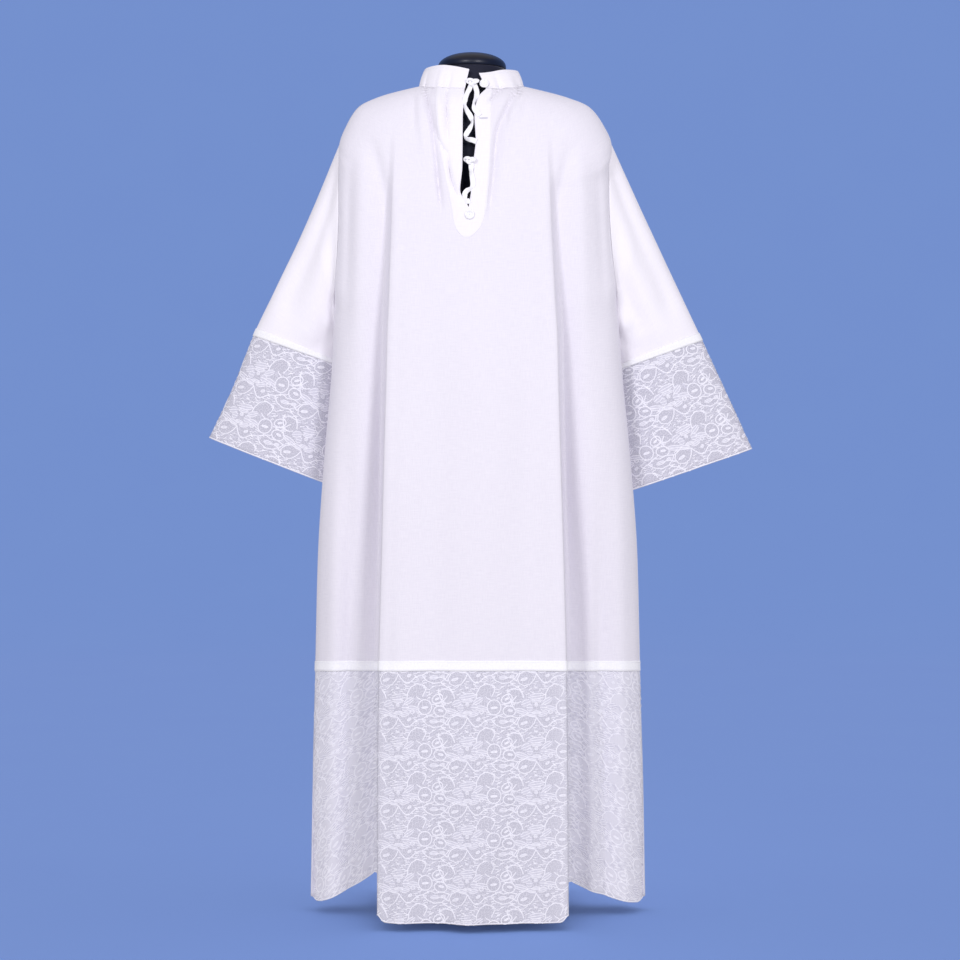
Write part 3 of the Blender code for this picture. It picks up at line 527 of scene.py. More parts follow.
# %% Cotton, single and doubled
SLUB = 0.0012  # metres between slubs across a thread
SLUB_RUN = 0.020  # how long a slub runs along its thread


def woven(name, light, shade, depth):
    """Plain-woven cloth: streaks along the two threads vary its colour and its surface."""
    material, tree, shader = new_material(
        name, Roughness=0.86, IOR=1.47, Sheen_Weight=0.10, Sheen_Roughness=0.5
    )
    place = add_node(tree, "ShaderNodeUVMap", {"uv_map": "flat_cut"}).outputs["UV"]
    grain = {"noise_dimensions": "2D", "Scale": 1.0, "Detail": 3.0, "Roughness": 0.6}
    streaks = []
    for scale in ((1 / SLUB, 1 / SLUB_RUN, 1), (1 / SLUB_RUN, 1 / SLUB, 1)):  # warp, then weft
        thread = add_node(tree, "ShaderNodeMapping", {"Scale": scale}, {"Vector": place})
        streak = add_node(tree, "ShaderNodeTexNoise", grain, {"Vector": thread.outputs[0]})
        streaks.append(streak.outputs[0])
    both = add_node(tree, "ShaderNodeMath", {"operation": "ADD"}, dict(enumerate(streaks)))
    spread = {"From Min": 0.75, "From Max": 1.25}
    level = add_node(tree, "ShaderNodeMapRange", spread, {"Value": both.outputs[0]})
    two_tone(tree, shader, level.outputs[0], shade, light, bump=(0.35, depth))
    return material


cotton = woven("slubbed white cotton", "EDEAF1", "E7E4EC", 0.0003)
sleeve_cotton = woven("slubbed white cotton, doubled back", "FAF7FC", "F5F2F8", 0.0003)
doubled_cotton = woven("doubled white cotton", "F5F3F8", "F0EDF3", 0.0002)
print("made:", cotton.name, "and", sleeve_cotton.name, "and", doubled_cotton.name)

# %% [markdown]
# ## Body of the robe
# Front and back are one cut each, hung from the shoulders. The front's slit is left open
# between two of its columns: real cloth is slashed there and the edges are faced later.

# %% Front and back panels
slit_from = IN_SIDE + IN_VALLEY + IN_WALL + GATHERED + BESIDE_SLIT
slit_rows = sum(v < SLIT_END_ROW - 1e-6 for v in levels(NECK_ROW, TAPE_ROW))


def slit_hole(r, c):
    return slit_from <= c < slit_from + IN_SLIT and r < slit_rows


front_panel = cloth("front_panel", front, cotton, hole=slit_hole)
back_panel = cloth("back_panel", back, cotton)
dress("body_front")
dress("body_back")
print("front panel faces:", len(front_panel.data.polygons))

# %% [markdown]
# ## Lace hem
# The lace is one long strip of machine lace, sewn under a tape and joined at a side. Its ground
# is a fine net, and flowers, leaves and rings are run into it with thicker thread. The strip
# follows the body's folds, so it is drawn by the same tables, from the tape down to the hem.

# %% The hem's net
def ring_grid(rows):
    """Front and back in one strip, from the left side seam round to it again."""
    return np.concatenate([body_grid(rows), body_grid(rows, back=True)[:, 1:]], axis=1)


def outward(grid):
    """Unit normals of a grid, to the outside."""
    down, along = np.gradient(grid, axis=0), np.gradient(grid, axis=1)
    normal = np.cross(down, along)
    return normal / np.maximum(np.linalg.norm(normal, axis=-1, keepdims=True), 1e-12)


NET_THICK = 0.0006
LACE_ROW_STEP = 0.0075  # rows of the net may lie further apart than the cotton's
hem_grid = ring_grid(levels(TAPE_ROW, HEM_ROW, LACE_ROW_STEP))
hem_cut = flat_cut(hem_grid, slit_from + IN_SLIT // 2)  # counted from the centre front
print("hem lace, metres round:", np.ptp(hem_cut[-1, :, 0]).round(3), "deep:", hem_cut[-1, 0, 1].round(3))

# %% [markdown]
# ## Lace net and lace thread
# The ground is a net of fine cotton with holes of a millimetre or less. It is drawn 2.3 mm
# apart, coarser than the real one, because a finer one would not show from here. Real holes
# would cost a million tiny faces, so the net is a pattern of cells: their rims have the
# thread's colour and a little height, and their middles are painted shade, standing for the
# dim inside of the robe; past the long folds that painted shade is made paler, painted light
# that lightens the shaded valleys. The figures are run in glossy mercerised cotton, so they
# are lighter and smoother than the ground; matt darning lies between the two. Bright thread
# on a dimmer net reads as lace.

# %% Net and thread finishes
NET_PITCH = 0.0023
PAINTED_LIGHT_FROM, PAINTED_LIGHT_TO = 0.13, 0.21  # painted light: between these distances along the flat cut the holes' painted shade turns paler; on the hem that is past the long folds


def netted(name, thread, hole, painted_light_hole):
    """Fine net, whose holes are painted shade, painted paler past the long folds."""
    material, tree, shader = new_material(name, Roughness=0.8, IOR=1.47)
    place = add_node(tree, "ShaderNodeUVMap", {"uv_map": "flat_cut"}).outputs["UV"]
    mesh = {"voronoi_dimensions": "2D", "Scale": 1 / NET_PITCH, "Randomness": 0.45}
    cells = add_node(tree, "ShaderNodeTexVoronoi", mesh, {"Vector": place})
    rim = {"From Min": 0.2, "From Max": 0.62}
    edge = add_node(tree, "ShaderNodeMapRange", rim, {"Value": cells.outputs[0]})
    across = add_node(tree, "ShaderNodeSeparateXYZ", None, {"Vector": place})
    away = add_node(tree, "ShaderNodeMath", {"operation": "ABSOLUTE"}, {0: across.outputs["X"]})
    near = {"From Min": PAINTED_LIGHT_FROM, "From Max": PAINTED_LIGHT_TO}
    folds = add_node(tree, "ShaderNodeMapRange", near, {"Value": away.outputs[0]})
    # painted light: the holes' painted shade turns paler past the long folds, lightening the shaded valleys
    tones = {"data_type": "RGBA", 6: linear(hole), 7: linear(painted_light_hole)}
    painted_hole_tone = add_node(tree, "ShaderNodeMix", tones, {0: folds.outputs[0]})
    tint = two_tone(tree, shader, edge.outputs[0], hole, thread, bump=(0.5, 0.0004))
    tree.links.new(tint.inputs[6], painted_hole_tone.outputs[2])
    return material


def spun(name, light, shade, size, rough):
    """Thread or tape: fibres, a little darker between them, at a size in metres.

    A real twist is about 0.5 mm long, so the sizes are four to six times as coarse, to show.
    """
    material, tree, shader = new_material(name, Roughness=rough, IOR=1.5, Sheen_Weight=0.15)
    fibre = speckle(tree, 1 / size, Detail=2.0, Roughness=0.55)
    spread = {"From Min": 0.3, "From Max": 0.7}
    level = add_node(tree, "ShaderNodeMapRange", spread, {"Value": fibre})
    two_tone(tree, shader, level.outputs[0], shade, light, bump=(0.25, 0.0003))
    return material


# the last two tones of a net are painted shade in its holes, and that painted shade made paler past the long
# folds
hem_net_cotton = netted("cotton net", "E0DFE8", "BEBDC9", "E3E2EB")
cuff_net_cotton = netted("cotton net over shade", "DDDCE5", "B8B7C4", "BCBBC8")
tape_cotton = spun("bleached woven tape", "FFFFFF", "F6F6FA", 0.0030, 0.7)
lace_thread = spun("mercerised lace thread", "FBFAFF", "F0EFF7", 0.0025, 0.55)
darning_thread = spun("matt darning thread", "DDDCE6", "CFCEDA", 0.0018, 0.8)
print("net pitch drawn at", NET_PITCH * 1000, "mm")

# %% [markdown]
# ## Charting the lace
# Lace repeats. One repeat is charted as a lace maker would draw it, in small steps around the
# flower's heart: thick outlines, and petals and leaves darned with matt thread and hatched
# with bright. Places that stay open net are listed too, and short stitches are strewn
# everywhere else. An image could show all this flat; here every figure becomes a low, domed
# ribbon or pad of thread on the net, so that it catches light from the side.

# %% One repeat of the lace, charted in steps
STEP = 0.001607  # metres in one step of the chart, at the hem
REPEAT = (70.0, 44.0)  # steps across and down


def oval(x, y, rx, ry, tilt=0.0, count=14):
    turn = np.linspace(0, 2 * np.pi, count + 1)
    c, s = math.cos(math.radians(tilt)), math.sin(math.radians(tilt))
    u, w = np.cos(turn), np.sin(turn)
    return list(zip(x + rx * c * u - ry * s * w, y + rx * s * u + ry * c * w))


OUTLINES = (
    oval(26.8, 1.4, 6.9, 7.5, 0, 18),  # round ring
    [(0.3, 11.7), (-5, 9.9), (-11, 9.4), (-16.5, 12), (-19.2, 17), (-17.5, 22), (-12, 24.3), (-6, 22.3),
     (-2.2, 17.5), (0.3, 11.7)],  # eye-shaped ring
    [(0.3, 11.7), (2.2, 15), (5, 18.4), (8, 21.2), (11, 20.8), (14, 18.4), (17, 15.6), (20.5, 14), (24, 13.4),
     (27.5, 11.6), (31, 9.4)],  # scallop
    [(-29.5, -15), (-28.4, -10), (-26, -5.6), (-23.4, -3), (-19, -2.4), (-15.2, -4.2)],  # left pocket
    [(-29.5, -15), (-23, -16.8), (-16.8, -15.6), (-13.8, -11.6), (-12.6, -7.4)],
    [(8.8, -7.5), (9.6, -13), (12.6, -18.8), (18.4, -22.2), (27, -20.2), (27.4, -15),
     (24.4, -9.2)],  # right pocket
    oval(39.8, -6.9, 6.0, 4.2, -28, 12),
    oval(42.4, 5.4, 6.6, 5.2, 8, 12),
    [(34.2, -1.2), (38, -1.4), (42, -2.6), (46.4, -5.4), (50, -9.6)],
    [(-25.6, -2.4), (-22.6, 3), (-19, 5.2), (-15, 6)],
    [(-27, 20.6), (-23.5, 23.3), (-17.5, 26.6), (-14, 31)],
    [(-19.6, 19.6), (-23.4, 16.6), (-28, 15.4), (-32, 16.8)],
    [(24.4, 14.4), (29, 19.2), (36, 21.8), (43, 20.6), (48.4, 16.6), (51.4, 12.4)],  # wavy leaf
    [(31, 9.4), (37, 11.6), (44, 10.4), (51.4, 12.4)],
    oval(14.2, 5.6, 2.1, 2.1, 0, 8),
)
PADS = (  # x, y, half length, half width, tilt, of every darned petal and leaf
    (0.5, -9.6, 9.6, 3.9, -10), (10.8, -5.2, 6.2, 3.6, -32), (14.2, 2.6, 6.8, 3.8, 8),
    (6.6, 8.2, 5.8, 3.0, -16), (-5.4, 8.9, 5.8, 3.0, 12), (-15.2, 5.8, 8.4, 3.5, 16),
    (-10.4, -2.6, 5.6, 4.3, -22), (0.0, -1.2, 2.3, 2.1, 0), (-6.6, 2.0, 3.6, 4.6, 0),
    (7.2, 1.4, 3.8, 4.8, 0), (0.6, 6.6, 5.4, 2.2, 0), (0.2, -5.2, 6.4, 2.6, -4),
    (26.8, 1.8, 4.1, 1.4, -4), (-12.4, 17.6, 4.4, 1.7, -18), (11.2, 13.4, 2.8, 1.7, -35),
    (43.2, 4.8, 3.4, 1.5, 10), (39.6, -6.8, 3.0, 1.2, -28), (36.0, 15.8, 5.2, 2.4, -4),
    (45.0, 14.8, 3.2, 2.0, -14),
)  # fmt: skip
OPEN = (  # x, y, half width, half height of what stays plain net
    (26.8, 1.4, 7.6, 8.2), (-10.0, 17.0, 9.6, 8.0), (-21.2, -9.6, 7.6, 6.4), (18.8, -14.6, 8.6, 6.2),
    (39.8, -6.9, 6.0, 4.6), (42.4, 5.4, 6.8, 5.6), (-21.0, 0.6, 3.4, 2.0), (10.0, 14.0, 7.2, 5.4),
    (0.0, 0.0, 21.0, 11.0), (37.0, 16.0, 11.5, 5.4),
)  # fmt: skip


print("charted:", len(OUTLINES), "outlines and", len(PADS), "pads")

# %% [markdown]
# ## Stitches of the lace
# Between the figures a lace machine strews short curved stitches, no two quite alike. They
# are drawn at random from a fixed seed, so every build gives the same lace, and left out
# where the chart keeps open net. Long stitches hatch each pad along its length.

# %% Strewn stitches and hatched pads
ROWS_APART, STITCHES_APART = 2.0, 4.6  # steps


def strewn():
    """Short curved stitches over what is neither figure nor open net, seeded so they repeat."""
    rng = np.random.default_rng(5)
    stitches = []
    for row in np.arange(-22, 22, ROWS_APART):
        for column in np.arange(-24, 46, STITCHES_APART):
            x, y = column + rng.uniform(-1.8, 1.8), row + rng.uniform(-0.6, 0.6)
            near = [
                ((x - ox - REPEAT[0] * a) / rx) ** 2 + ((y - oy - REPEAT[1] * b) / ry) ** 2
                for ox, oy, rx, ry in OPEN for a in (-1, 0, 1) for b in (-1, 0, 1)
            ]  # fmt: skip
            if min(near) > 1.0:
                tilt = rng.uniform(-0.4, 0.4) + 0.3 * math.sin(x / 9)
                long, bend = rng.uniform(1.5, 2.7), rng.uniform(-0.9, 0.9)
                c, s = math.cos(tilt), math.sin(tilt)
                stitches.append([(x + u * long * c - w * s, y + u * long * s + w * c)
                                 for u, w in ((-1, 0), (0, bend), (1, 0))])  # fmt: skip
    return stitches


def hatch(x, y, rx, ry, tilt):
    """Three long stitches over a pad, along it and a little bowed."""
    c, s = math.cos(math.radians(tilt)), math.sin(math.radians(tilt))
    lines = []
    for w in (-0.62, 0.0, 0.62):
        reach = rx * math.sqrt(1 - w * w) * 0.92
        bowed = (-1, w * ry * 0.7), (-0.1, w * ry * 1.15), (1, w * ry * 0.75)
        lines.append([(x + u * reach * c - v * s, y + u * reach * s + v * c) for u, v in bowed])
    return lines


HATCHES = [line for pad in PADS for line in hatch(*pad)]
STITCHES = strewn()
print("in a repeat:", len(HATCHES), "hatching lines and", len(STITCHES), "strewn stitches")

# %% [markdown]
# ## Laying thread on cloth
# A chart is flat and the cloth is not, so a point of the chart is looked up by its distance
# along the cloth and down it. Each row of the cloth is first spaced out evenly by arc length;
# a point of the chart then falls between four known points, and so does its normal.

# %% From the flat cut to the hanging cloth
SKEW_FROM, SKEW_TO = 0.17, 0.48  # past a long fold the lace hangs askew, up to the side seam


def surface_of(grid, cut, skew=0.0, spacing=0.002):
    """A function that turns flat (along, down) places into points and normals on a cloth."""
    low, high = cut[..., 0].min(), cut[..., 0].max()
    places = np.arange(low, high + spacing, spacing)
    points = np.full((len(grid), len(places), 3), np.nan)
    normals = points.copy()
    out = outward(grid)
    for r in range(len(grid)):
        on = (places >= cut[r, 0, 0]) & (places <= cut[r, -1, 0])
        for k in range(3):
            points[r, on, k] = np.interp(places[on], cut[r, :, 0], grid[r, :, k])
            normals[r, on, k] = np.interp(places[on], cut[r, :, 0], out[r, :, k])
    down = cut[:, 0, 1]

    def lay(flat):
        sag = skew * np.clip(np.abs(flat[..., 0]) - SKEW_FROM, 0, SKEW_TO - SKEW_FROM)
        r = np.interp(flat[..., 1] + sag, down, np.arange(len(down)), left=-1, right=len(down))
        c = (flat[..., 0] - low) / spacing
        ok = (r >= 0) & (r <= len(down) - 1) & (c >= 0) & (c <= len(places) - 1)
        r0 = np.clip(np.floor(r), 0, len(down) - 2).astype(int)
        c0 = np.clip(np.floor(c), 0, len(places) - 2).astype(int)
        a, b = np.clip(r - r0, 0, 1)[..., None], np.clip(c - c0, 0, 1)[..., None]
        found = []
        for table in (points, normals):
            upper = table[r0, c0] * (1 - b) + table[r0, c0 + 1] * b
            lower = table[r0 + 1, c0] * (1 - b) + table[r0 + 1, c0 + 1] * b
            found.append(upper * (1 - a) + lower * a)
        ok &= np.isfinite(found[0]).all(axis=-1)
        length = np.linalg.norm(found[1], axis=-1, keepdims=True)
        unit = found[1] / np.where(length > 0, length, 1)
        return np.nan_to_num(found[0]), np.nan_to_num(unit), ok

    return lay


print("looked up on the hem's net, 0.1 m down:", surface_of(hem_grid, hem_cut)(np.array([[0, 0.1]]))[0])

# %% [markdown]
# ## Ribbons and pads
# Seen up close a laid thread is a low dome, so three rails and two strips of faces are enough
# for it: left edge, raised middle, right edge. A darned pad is a fan of triangles around a
# raised point. A curve with a bevel would be rounder, and cost ten times as many faces.

# %% A basket that collects thread
class ThreadWork:
    """Collects ribbons and pads of thread, then makes one mesh of them."""

    def __init__(self):
        self.verts, self.faces, self.count = [], [], 0

    def add(self, verts, faces, ok):
        self.verts.append(verts.reshape(-1, 3))
        self.faces += (faces.reshape(-1, faces.shape[-1])[ok.ravel()] + self.count).tolist()
        self.count += len(self.verts[-1])

    def ribbons(self, points, normals, ok, width, height):
        """Domed ribbons along lines, given as arrays of (lines, points, xyz); ok may be None."""
        ok = np.ones(points.shape[:2], bool) if ok is None else ok
        along = np.gradient(points, axis=1)
        side = np.cross(normals, along)
        side /= np.maximum(np.linalg.norm(side, axis=-1, keepdims=True), 1e-12)
        rails = [points - side * width / 2, points + normals * height, points + side * width / 2]
        rails = np.stack(rails, axis=2)
        lines, length = points.shape[:2]
        at = np.arange(lines * length * 3).reshape(lines, length, 3)
        faces = np.stack([at[:, :-1, :-1], at[:, :-1, 1:], at[:, 1:, 1:], at[:, 1:, :-1]], axis=-1)
        good = (ok[:, :-1] & ok[:, 1:])[..., None] & np.ones((1, 1, 2), bool)
        self.add(rails, faces, good)

    def pads(self, points, normals, ok, height):
        """Raised pads: the first point of each is its middle, the rest its outline."""
        points = points.copy()
        points[:, 0] += normals[:, 0] * height
        pads, length = points.shape[:2]
        at = np.arange(pads * length).reshape(pads, length)
        faces = np.stack(np.broadcast_arrays(at[:, :1], at[:, 2:], at[:, 1:-1]), axis=-1)
        self.add(points, faces, ok[:, :1] & ok[:, 2:] & ok[:, 1:-1])

    def make(self, name, material):
        """One mesh of all that was collected, without the points that no face uses."""
        verts = np.concatenate(self.verts)
        used = np.zeros(len(verts), bool)
        used[[corner for face in self.faces for corner in face]] = True
        place = (np.cumsum(used) - 1).tolist()
        faces = [[place[corner] for corner in face] for face in self.faces]
        piece = add_mesh(name, verts[used], faces, material)
        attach(piece, "root")
        return piece


print("three rails make a ribbon, and a fan makes a pad")

# %% [markdown]
# ## Repeating the chart
# The chart is laid over the whole strip, repeat beside repeat, and what falls off the cloth
# is dropped. Bright and matt thread are kept apart, since each has its own finish.

# %% Every repeat of the chart on a strip
def lace_figures(name, lay, grid, cut, step, first):
    """Every repeat of the chart that falls on a strip; first is one flower's place on it."""
    low, high, deep = cut[..., 0].min(), cut[..., 0].max(), cut[..., 1].max()
    wide, tall = REPEAT[0] * step, REPEAT[1] * step
    before = [-math.ceil(reach) - 1 for reach in ((first[0] - low) / wide, first[1] / tall)]
    along = first[0] + wide * np.arange(before[0], (high - first[0]) // wide + 2)
    down = first[1] + tall * np.arange(before[1], (deep - first[1]) // tall + 2)
    centres = np.array([(a, d) for a in along for d in down])
    bright, dim = ThreadWork(), ThreadWork()

    def tiled(line, above=0.0):
        flat = centres[:, None] + np.array(line)[None] * step
        points, normals, ok = lay(flat)
        return points + normals * (NET_THICK + above), normals, ok

    for lines, work, width, height, above in (
        (OUTLINES, bright, 1.1, 0.0007, 0.0),
        (HATCHES, bright, 0.8, 0.0005, 0.0003),  # they lie on the pads
        (STITCHES[::2], bright, 0.85, 0.0005, 0.0),
        (STITCHES[1::2], dim, 1.0, 0.0004, 0.0),
    ):
        for line in lines:
            work.ribbons(*tiled(line, above), width * step, height)
    for x, y, rx, ry, turn in PADS:
        dim.pads(*tiled([(x, y)] + oval(x, y, rx, ry, turn, 10)), 0.0005)
    out = outward(grid)
    edge = grid[-2:-1] * 0.2 + grid[-1:] * 0.8 + out[-1:] * NET_THICK  # a cord runs along it
    bright.ribbons(edge, out[-1:], None, 0.0018, 0.0008)
    pieces = [bright.make(name + "_figures", lace_thread)]
    pieces.append(dim.make(name + "_darning", darning_thread))
    return pieces


print("one repeat at the hem, in metres:", REPEAT[0] * STEP, "by", REPEAT[1] * STEP)

# %% [markdown]
# ## The hem's lace
# Net and figures come from the same strip. The chart starts from a flower at the middle of
# the front, a third of the way down, as a cutter centres a lace before sewing it on.

# %% Net and figures of the hem
HEM_FLOWER = (-0.0010, 0.1350)  # a flower's place: from the centre front, and down from the seam
HEM_SKEW = 0.45  # past the folds the figures sag by this share of their way to the side
hem_net = cloth("hem_net", hem_grid, hem_net_cotton, NET_THICK, uv=hem_cut)
dress("hem_lace")
hem_figures = lace_figures(
    "hem", surface_of(hem_grid, hem_cut, HEM_SKEW), hem_grid, hem_cut, STEP, HEM_FLOWER
)
print("hem figures:", {piece.name: len(piece.data.polygons) for piece in hem_figures}, "faces")

# %% [markdown]
# ## Sleeves
# A sleeve is one piece of cloth, folded and sewn under the arm. It is set into the armhole and
# hangs flat, so its rings go from the armhole's curve to a long thin loop. Its creases run
# down from the shoulder and across from the underarm, each given by two ends.

# %% Sleeve tables and rings
SLEEVE_ROWS = (  # share of the way down, Y of the sleeve's middle there, half its depth
    (0.16, 0.012, 0.048), (0.36, 0.024, 0.044), (0.60, 0.040, 0.039), (0.80, 0.046, 0.036),
    (1.00, 0.052, 0.034),
)  # fmt: skip
LEFT_SLEEVE = (  # X and Z of the outer edge, then of the inner one, for each of those rows
    (-0.2715, 1.178, -0.2270, 0.999), (-0.3140, 1.087, -0.2260, 0.967),
    (-0.3705, 0.977, -0.2290, 0.924), (-0.4060, 0.888, -0.2380, 0.823),
    (-0.4500, 0.797, -0.2460, 0.717),
)  # fmt: skip
RIGHT_SLEEVE = (
    (0.2870, 1.179, 0.2400, 0.997), (0.3335, 1.083, 0.2410, 0.961), (0.3895, 0.969, 0.2450, 0.915),
    (0.4335, 0.875, 0.2550, 0.812), (0.4790, 0.778, 0.2640, 0.704),
)  # fmt: skip
SEAM_T = 0.60  # the lace is sewn on at this share of the sleeve
RING_POINTS = 96
RING_SQUARE = 0.9  # under 1 makes a ring a little fuller than an ellipse
SEAM_STEP = 0.0004  # the sleeve starts this far outside the body's side
EDGE_CALM = 14  # degrees from a sleeve's edge over which its creases die out
# from (t, turn) to (t, turn), width in turn, depth; turn is 0 at the outer edge, 90 in front
LEFT_FOLDS = (
    ((0.02, 62), (0.50, 58), 16, -0.0050), ((0.10, 96), (0.58, 100), 20, 0.0050),
    ((0.34, 146), (0.60, 120), 14, -0.0035), ((0.08, 128), (0.34, 140), 14, -0.0030),
    ((0.04, 300), (0.50, 296), 20, -0.0055), ((0.10, 262), (0.60, 250), 20, 0.0050),
    ((0.20, 220), (0.60, 232), 14, -0.0040),
)  # fmt: skip
RIGHT_FOLDS = (
    ((0.04, 120), (0.46, 104), 15, -0.0060), ((0.10, 92), (0.58, 80), 18, 0.0055),
    ((0.20, 148), (0.42, 116), 12, 0.0050), ((0.34, 150), (0.54, 128), 11, -0.0030),
    ((0.03, 55), (0.50, 52), 16, -0.0045), ((0.04, 298), (0.52, 292), 20, -0.0050),
    ((0.12, 256), (0.60, 262), 20, 0.0055), ((0.22, 222), (0.58, 226), 14, -0.0045),
)  # fmt: skip


def sleeve_grid(edges, side, folds, t_values, extra=0.0):
    """Rings down a sleeve, each from the underarm seam, over the front, round to it again."""
    turns = np.linspace(math.pi, -math.pi, RING_POINTS + 1)  # underarm, front, outer edge, back
    c, s = np.cos(turns), np.sin(turns)
    v = (SHOULDER_TIP_ROW + UNDERARM_ROW) / 2 - c * (UNDERARM_ROW - SHOULDER_TIP_ROW) / 2
    seam = dict(zip(GIRTH_COLUMNS, smooth_line(range(len(GIRTHS)), GIRTHS, v).T))
    seam_x = seam["mid_x"] + side * (seam["half"] + SEAM_STEP)
    seam_y = -armhole_y(v, seam["side_y"]) * np.sign(s)
    rings = [np.stack([seam_x, seam_y, seam["side_z"]], -1)]
    for (_, mid_y, half_depth), (outer_x, outer_z, inner_x, inner_z) in zip(SLEEVE_ROWS, edges):
        outer, inner = np.array((outer_x, mid_y, outer_z)), np.array((inner_x, mid_y, inner_z))
        ring = (outer + inner) / 2 + (outer - inner) / 2 * c[:, None]
        ring[:, 1] -= half_depth * np.sign(s) * np.abs(s) ** RING_SQUARE
        rings.append(ring)
    knots = [0.0] + [row[0] for row in SLEEVE_ROWS]
    grid = smooth_line(knots, np.array(rings).reshape(len(rings), -1), t_values)
    grid = grid.reshape(len(t_values), -1, 3)
    if side < 0:  # keeps the outside out on both sleeves
        grid, turns = grid[:, ::-1], turns[::-1]
    degrees, t = np.degrees(turns) % 360, np.asarray(t_values)[:, None]
    lift = np.zeros(grid.shape[:2])
    for (t0, a0), (t1, a1), wide, depth in folds:
        share = np.clip((t - t0) / (t1 - t0), 0, 1)
        fade = ease((t - t0 + 0.05) / 0.12) * ease((t1 + 0.06 - t) / 0.14)
        lift += depth * fade * np.exp(-(((degrees - (a0 + (a1 - a0) * share)) / wide) ** 2))
    lift += slack(grid[..., 0] * 1.3, grid[..., 2], 1.0 + side) * ease(t / 0.1)
    from_edge = np.abs((degrees + 90) % 180 - 90)  # to the outer or the inner edge
    calm = ease(from_edge / EDGE_CALM)
    return grid + outward(grid) * (lift * calm + extra)[..., None]


print("rings reach from the armhole at 0 to the cuff's edge at 1, with the lace from", SEAM_T)

# %% [markdown]
# ## Lace and tape of the cuffs
# Each cuff is made like the hem: a strip of the same lace, charted a little larger, is sewn
# to the sleeve's end and a tape covers the seam. One loop makes both sleeves, which differ
# only in their tables.

# %% Sleeves, cuff lace and its tapes
CUFF_STEP = STEP * 1.05
TAPE_THICK = 0.0008
TAPE_HALF_T = 0.014  # half the tape's width, as a share of the sleeve's length
OVER_SEAM = 0.0003  # the tape lies this far above the cotton
SLEEVES = (  # side, its edges, -1 for left, folds, and a flower's place on the cuff
    ("left", LEFT_SLEEVE, -1, LEFT_FOLDS, (0.0488, 0.0663)),
    ("right", RIGHT_SLEEVE, 1, RIGHT_FOLDS, (-0.1110, 0.0810)),
)
sleeve_pieces = []
for side_name, edges, side, folds, flower in SLEEVES:
    upper = sleeve_grid(edges, side, folds, np.linspace(0, SEAM_T, 62))
    sleeve = cloth("sleeve_cloth_" + side_name, upper, sleeve_cotton)
    dress("sleeve_" + side_name)
    lower = sleeve_grid(edges, side, folds, np.linspace(SEAM_T, 1.0, 30))
    cut = flat_cut(lower)
    net = cloth("cuff_net_" + side_name, lower, cuff_net_cotton, NET_THICK)
    dress("cuff_lace_" + side_name)
    figures = lace_figures("cuff_" + side_name, surface_of(lower, cut), lower, cut, CUFF_STEP, flower)
    tape_t = SEAM_T + np.linspace(-TAPE_HALF_T, TAPE_HALF_T, 5)
    around = sleeve_grid(edges, side, folds, tape_t, COTTON_THICK + OVER_SEAM)
    tape = cloth("cuff_band_" + side_name, around, tape_cotton, TAPE_THICK)
    dress("cuff_tape_" + side_name)
    sleeve_pieces.append((sleeve, upper, net, lower, figures, tape, around))
print("sleeve pieces:", [pieces[0].name for pieces in sleeve_pieces])

# %% [markdown]
# ## Tape over the hem's seam
# A bleached tape covers the seam where the lace joins the cotton, and is stitched along both
# of its edges. It is the whitest thing on the robe, because bleaching leaves no colour in
# the cotton. It follows the cloth's rows, moved out by the cloth's thickness. A row of
# stitches is a row of short ribbons of thread whose ends sink into the cloth.

# %% Hem tape and stitching
TAPE_WIDTH = 0.0172
STITCH_PITCH, STITCH_LONG, STITCH_WIDE = 0.0032, 0.0024, 0.0006
STITCH_SUNK = 0.0001  # metres that a stitch's ends go into the cloth
SEAM_UP = 0.0001  # a row of stitches lies this far above the face of its cloth
ON_CLOTH = 0.0002  # a trim's inner face lies this far above the cloth's outer one


def stitched(name, seams, material):
    """Rows of stitches: each seam is a line of points with their normals."""
    work = ThreadWork()
    for points, normals in seams:
        run = distances(points)
        starts = np.arange(STITCH_PITCH / 2, run[-1] - STITCH_LONG, STITCH_PITCH)
        along = starts[:, None] + np.linspace(0, STITCH_LONG, 4)
        place = np.stack([np.interp(along, run, points[:, k]) for k in range(3)], axis=-1)
        facing = np.stack([np.interp(along, run, normals[:, k]) for k in range(3)], axis=-1)
        sunk = np.array((-1, 1, 1, -1))[None, :, None] * STITCH_SUNK  # both ends go into the cloth
        work.ribbons(place + facing * sunk, facing, None, STITCH_WIDE, 0.0003)
    return work.make(name, material)


heights = [girth(TAPE_ROW + step)["side_z"] for step in (-1, 0, 1)]
above = TAPE_WIDTH / 2 / (heights[0] - heights[1])
below = TAPE_WIDTH / 2 / (heights[1] - heights[2])
tape_grid = ring_grid(TAPE_ROW + np.linspace(-above, below, 7))
tape_out = outward(tape_grid)
tape_grid = tape_grid + tape_out * (COTTON_THICK + ON_CLOTH)
hem_band = cloth("hem_band", tape_grid, tape_cotton, TAPE_THICK)
dress("hem_tape")
face = tape_grid + tape_out * (TAPE_THICK + SEAM_UP)
hem_stitches = stitched("hem_band_stitches", [(face[r], tape_out[r]) for r in (1, -2)], lace_thread)
print("hem stitches:", len(hem_stitches.data.polygons) // 6)

# %% [markdown]
# ## Facing of the slit
# The neck slit is bound by a facing of doubled cotton that ends in a point. Two layers let
# less light through than one, so the facing looks whiter than the robe. It is cut by the same
# rows as the front, laid on it, and its slit is a little narrower, so that it rolls over the
# raw edge.

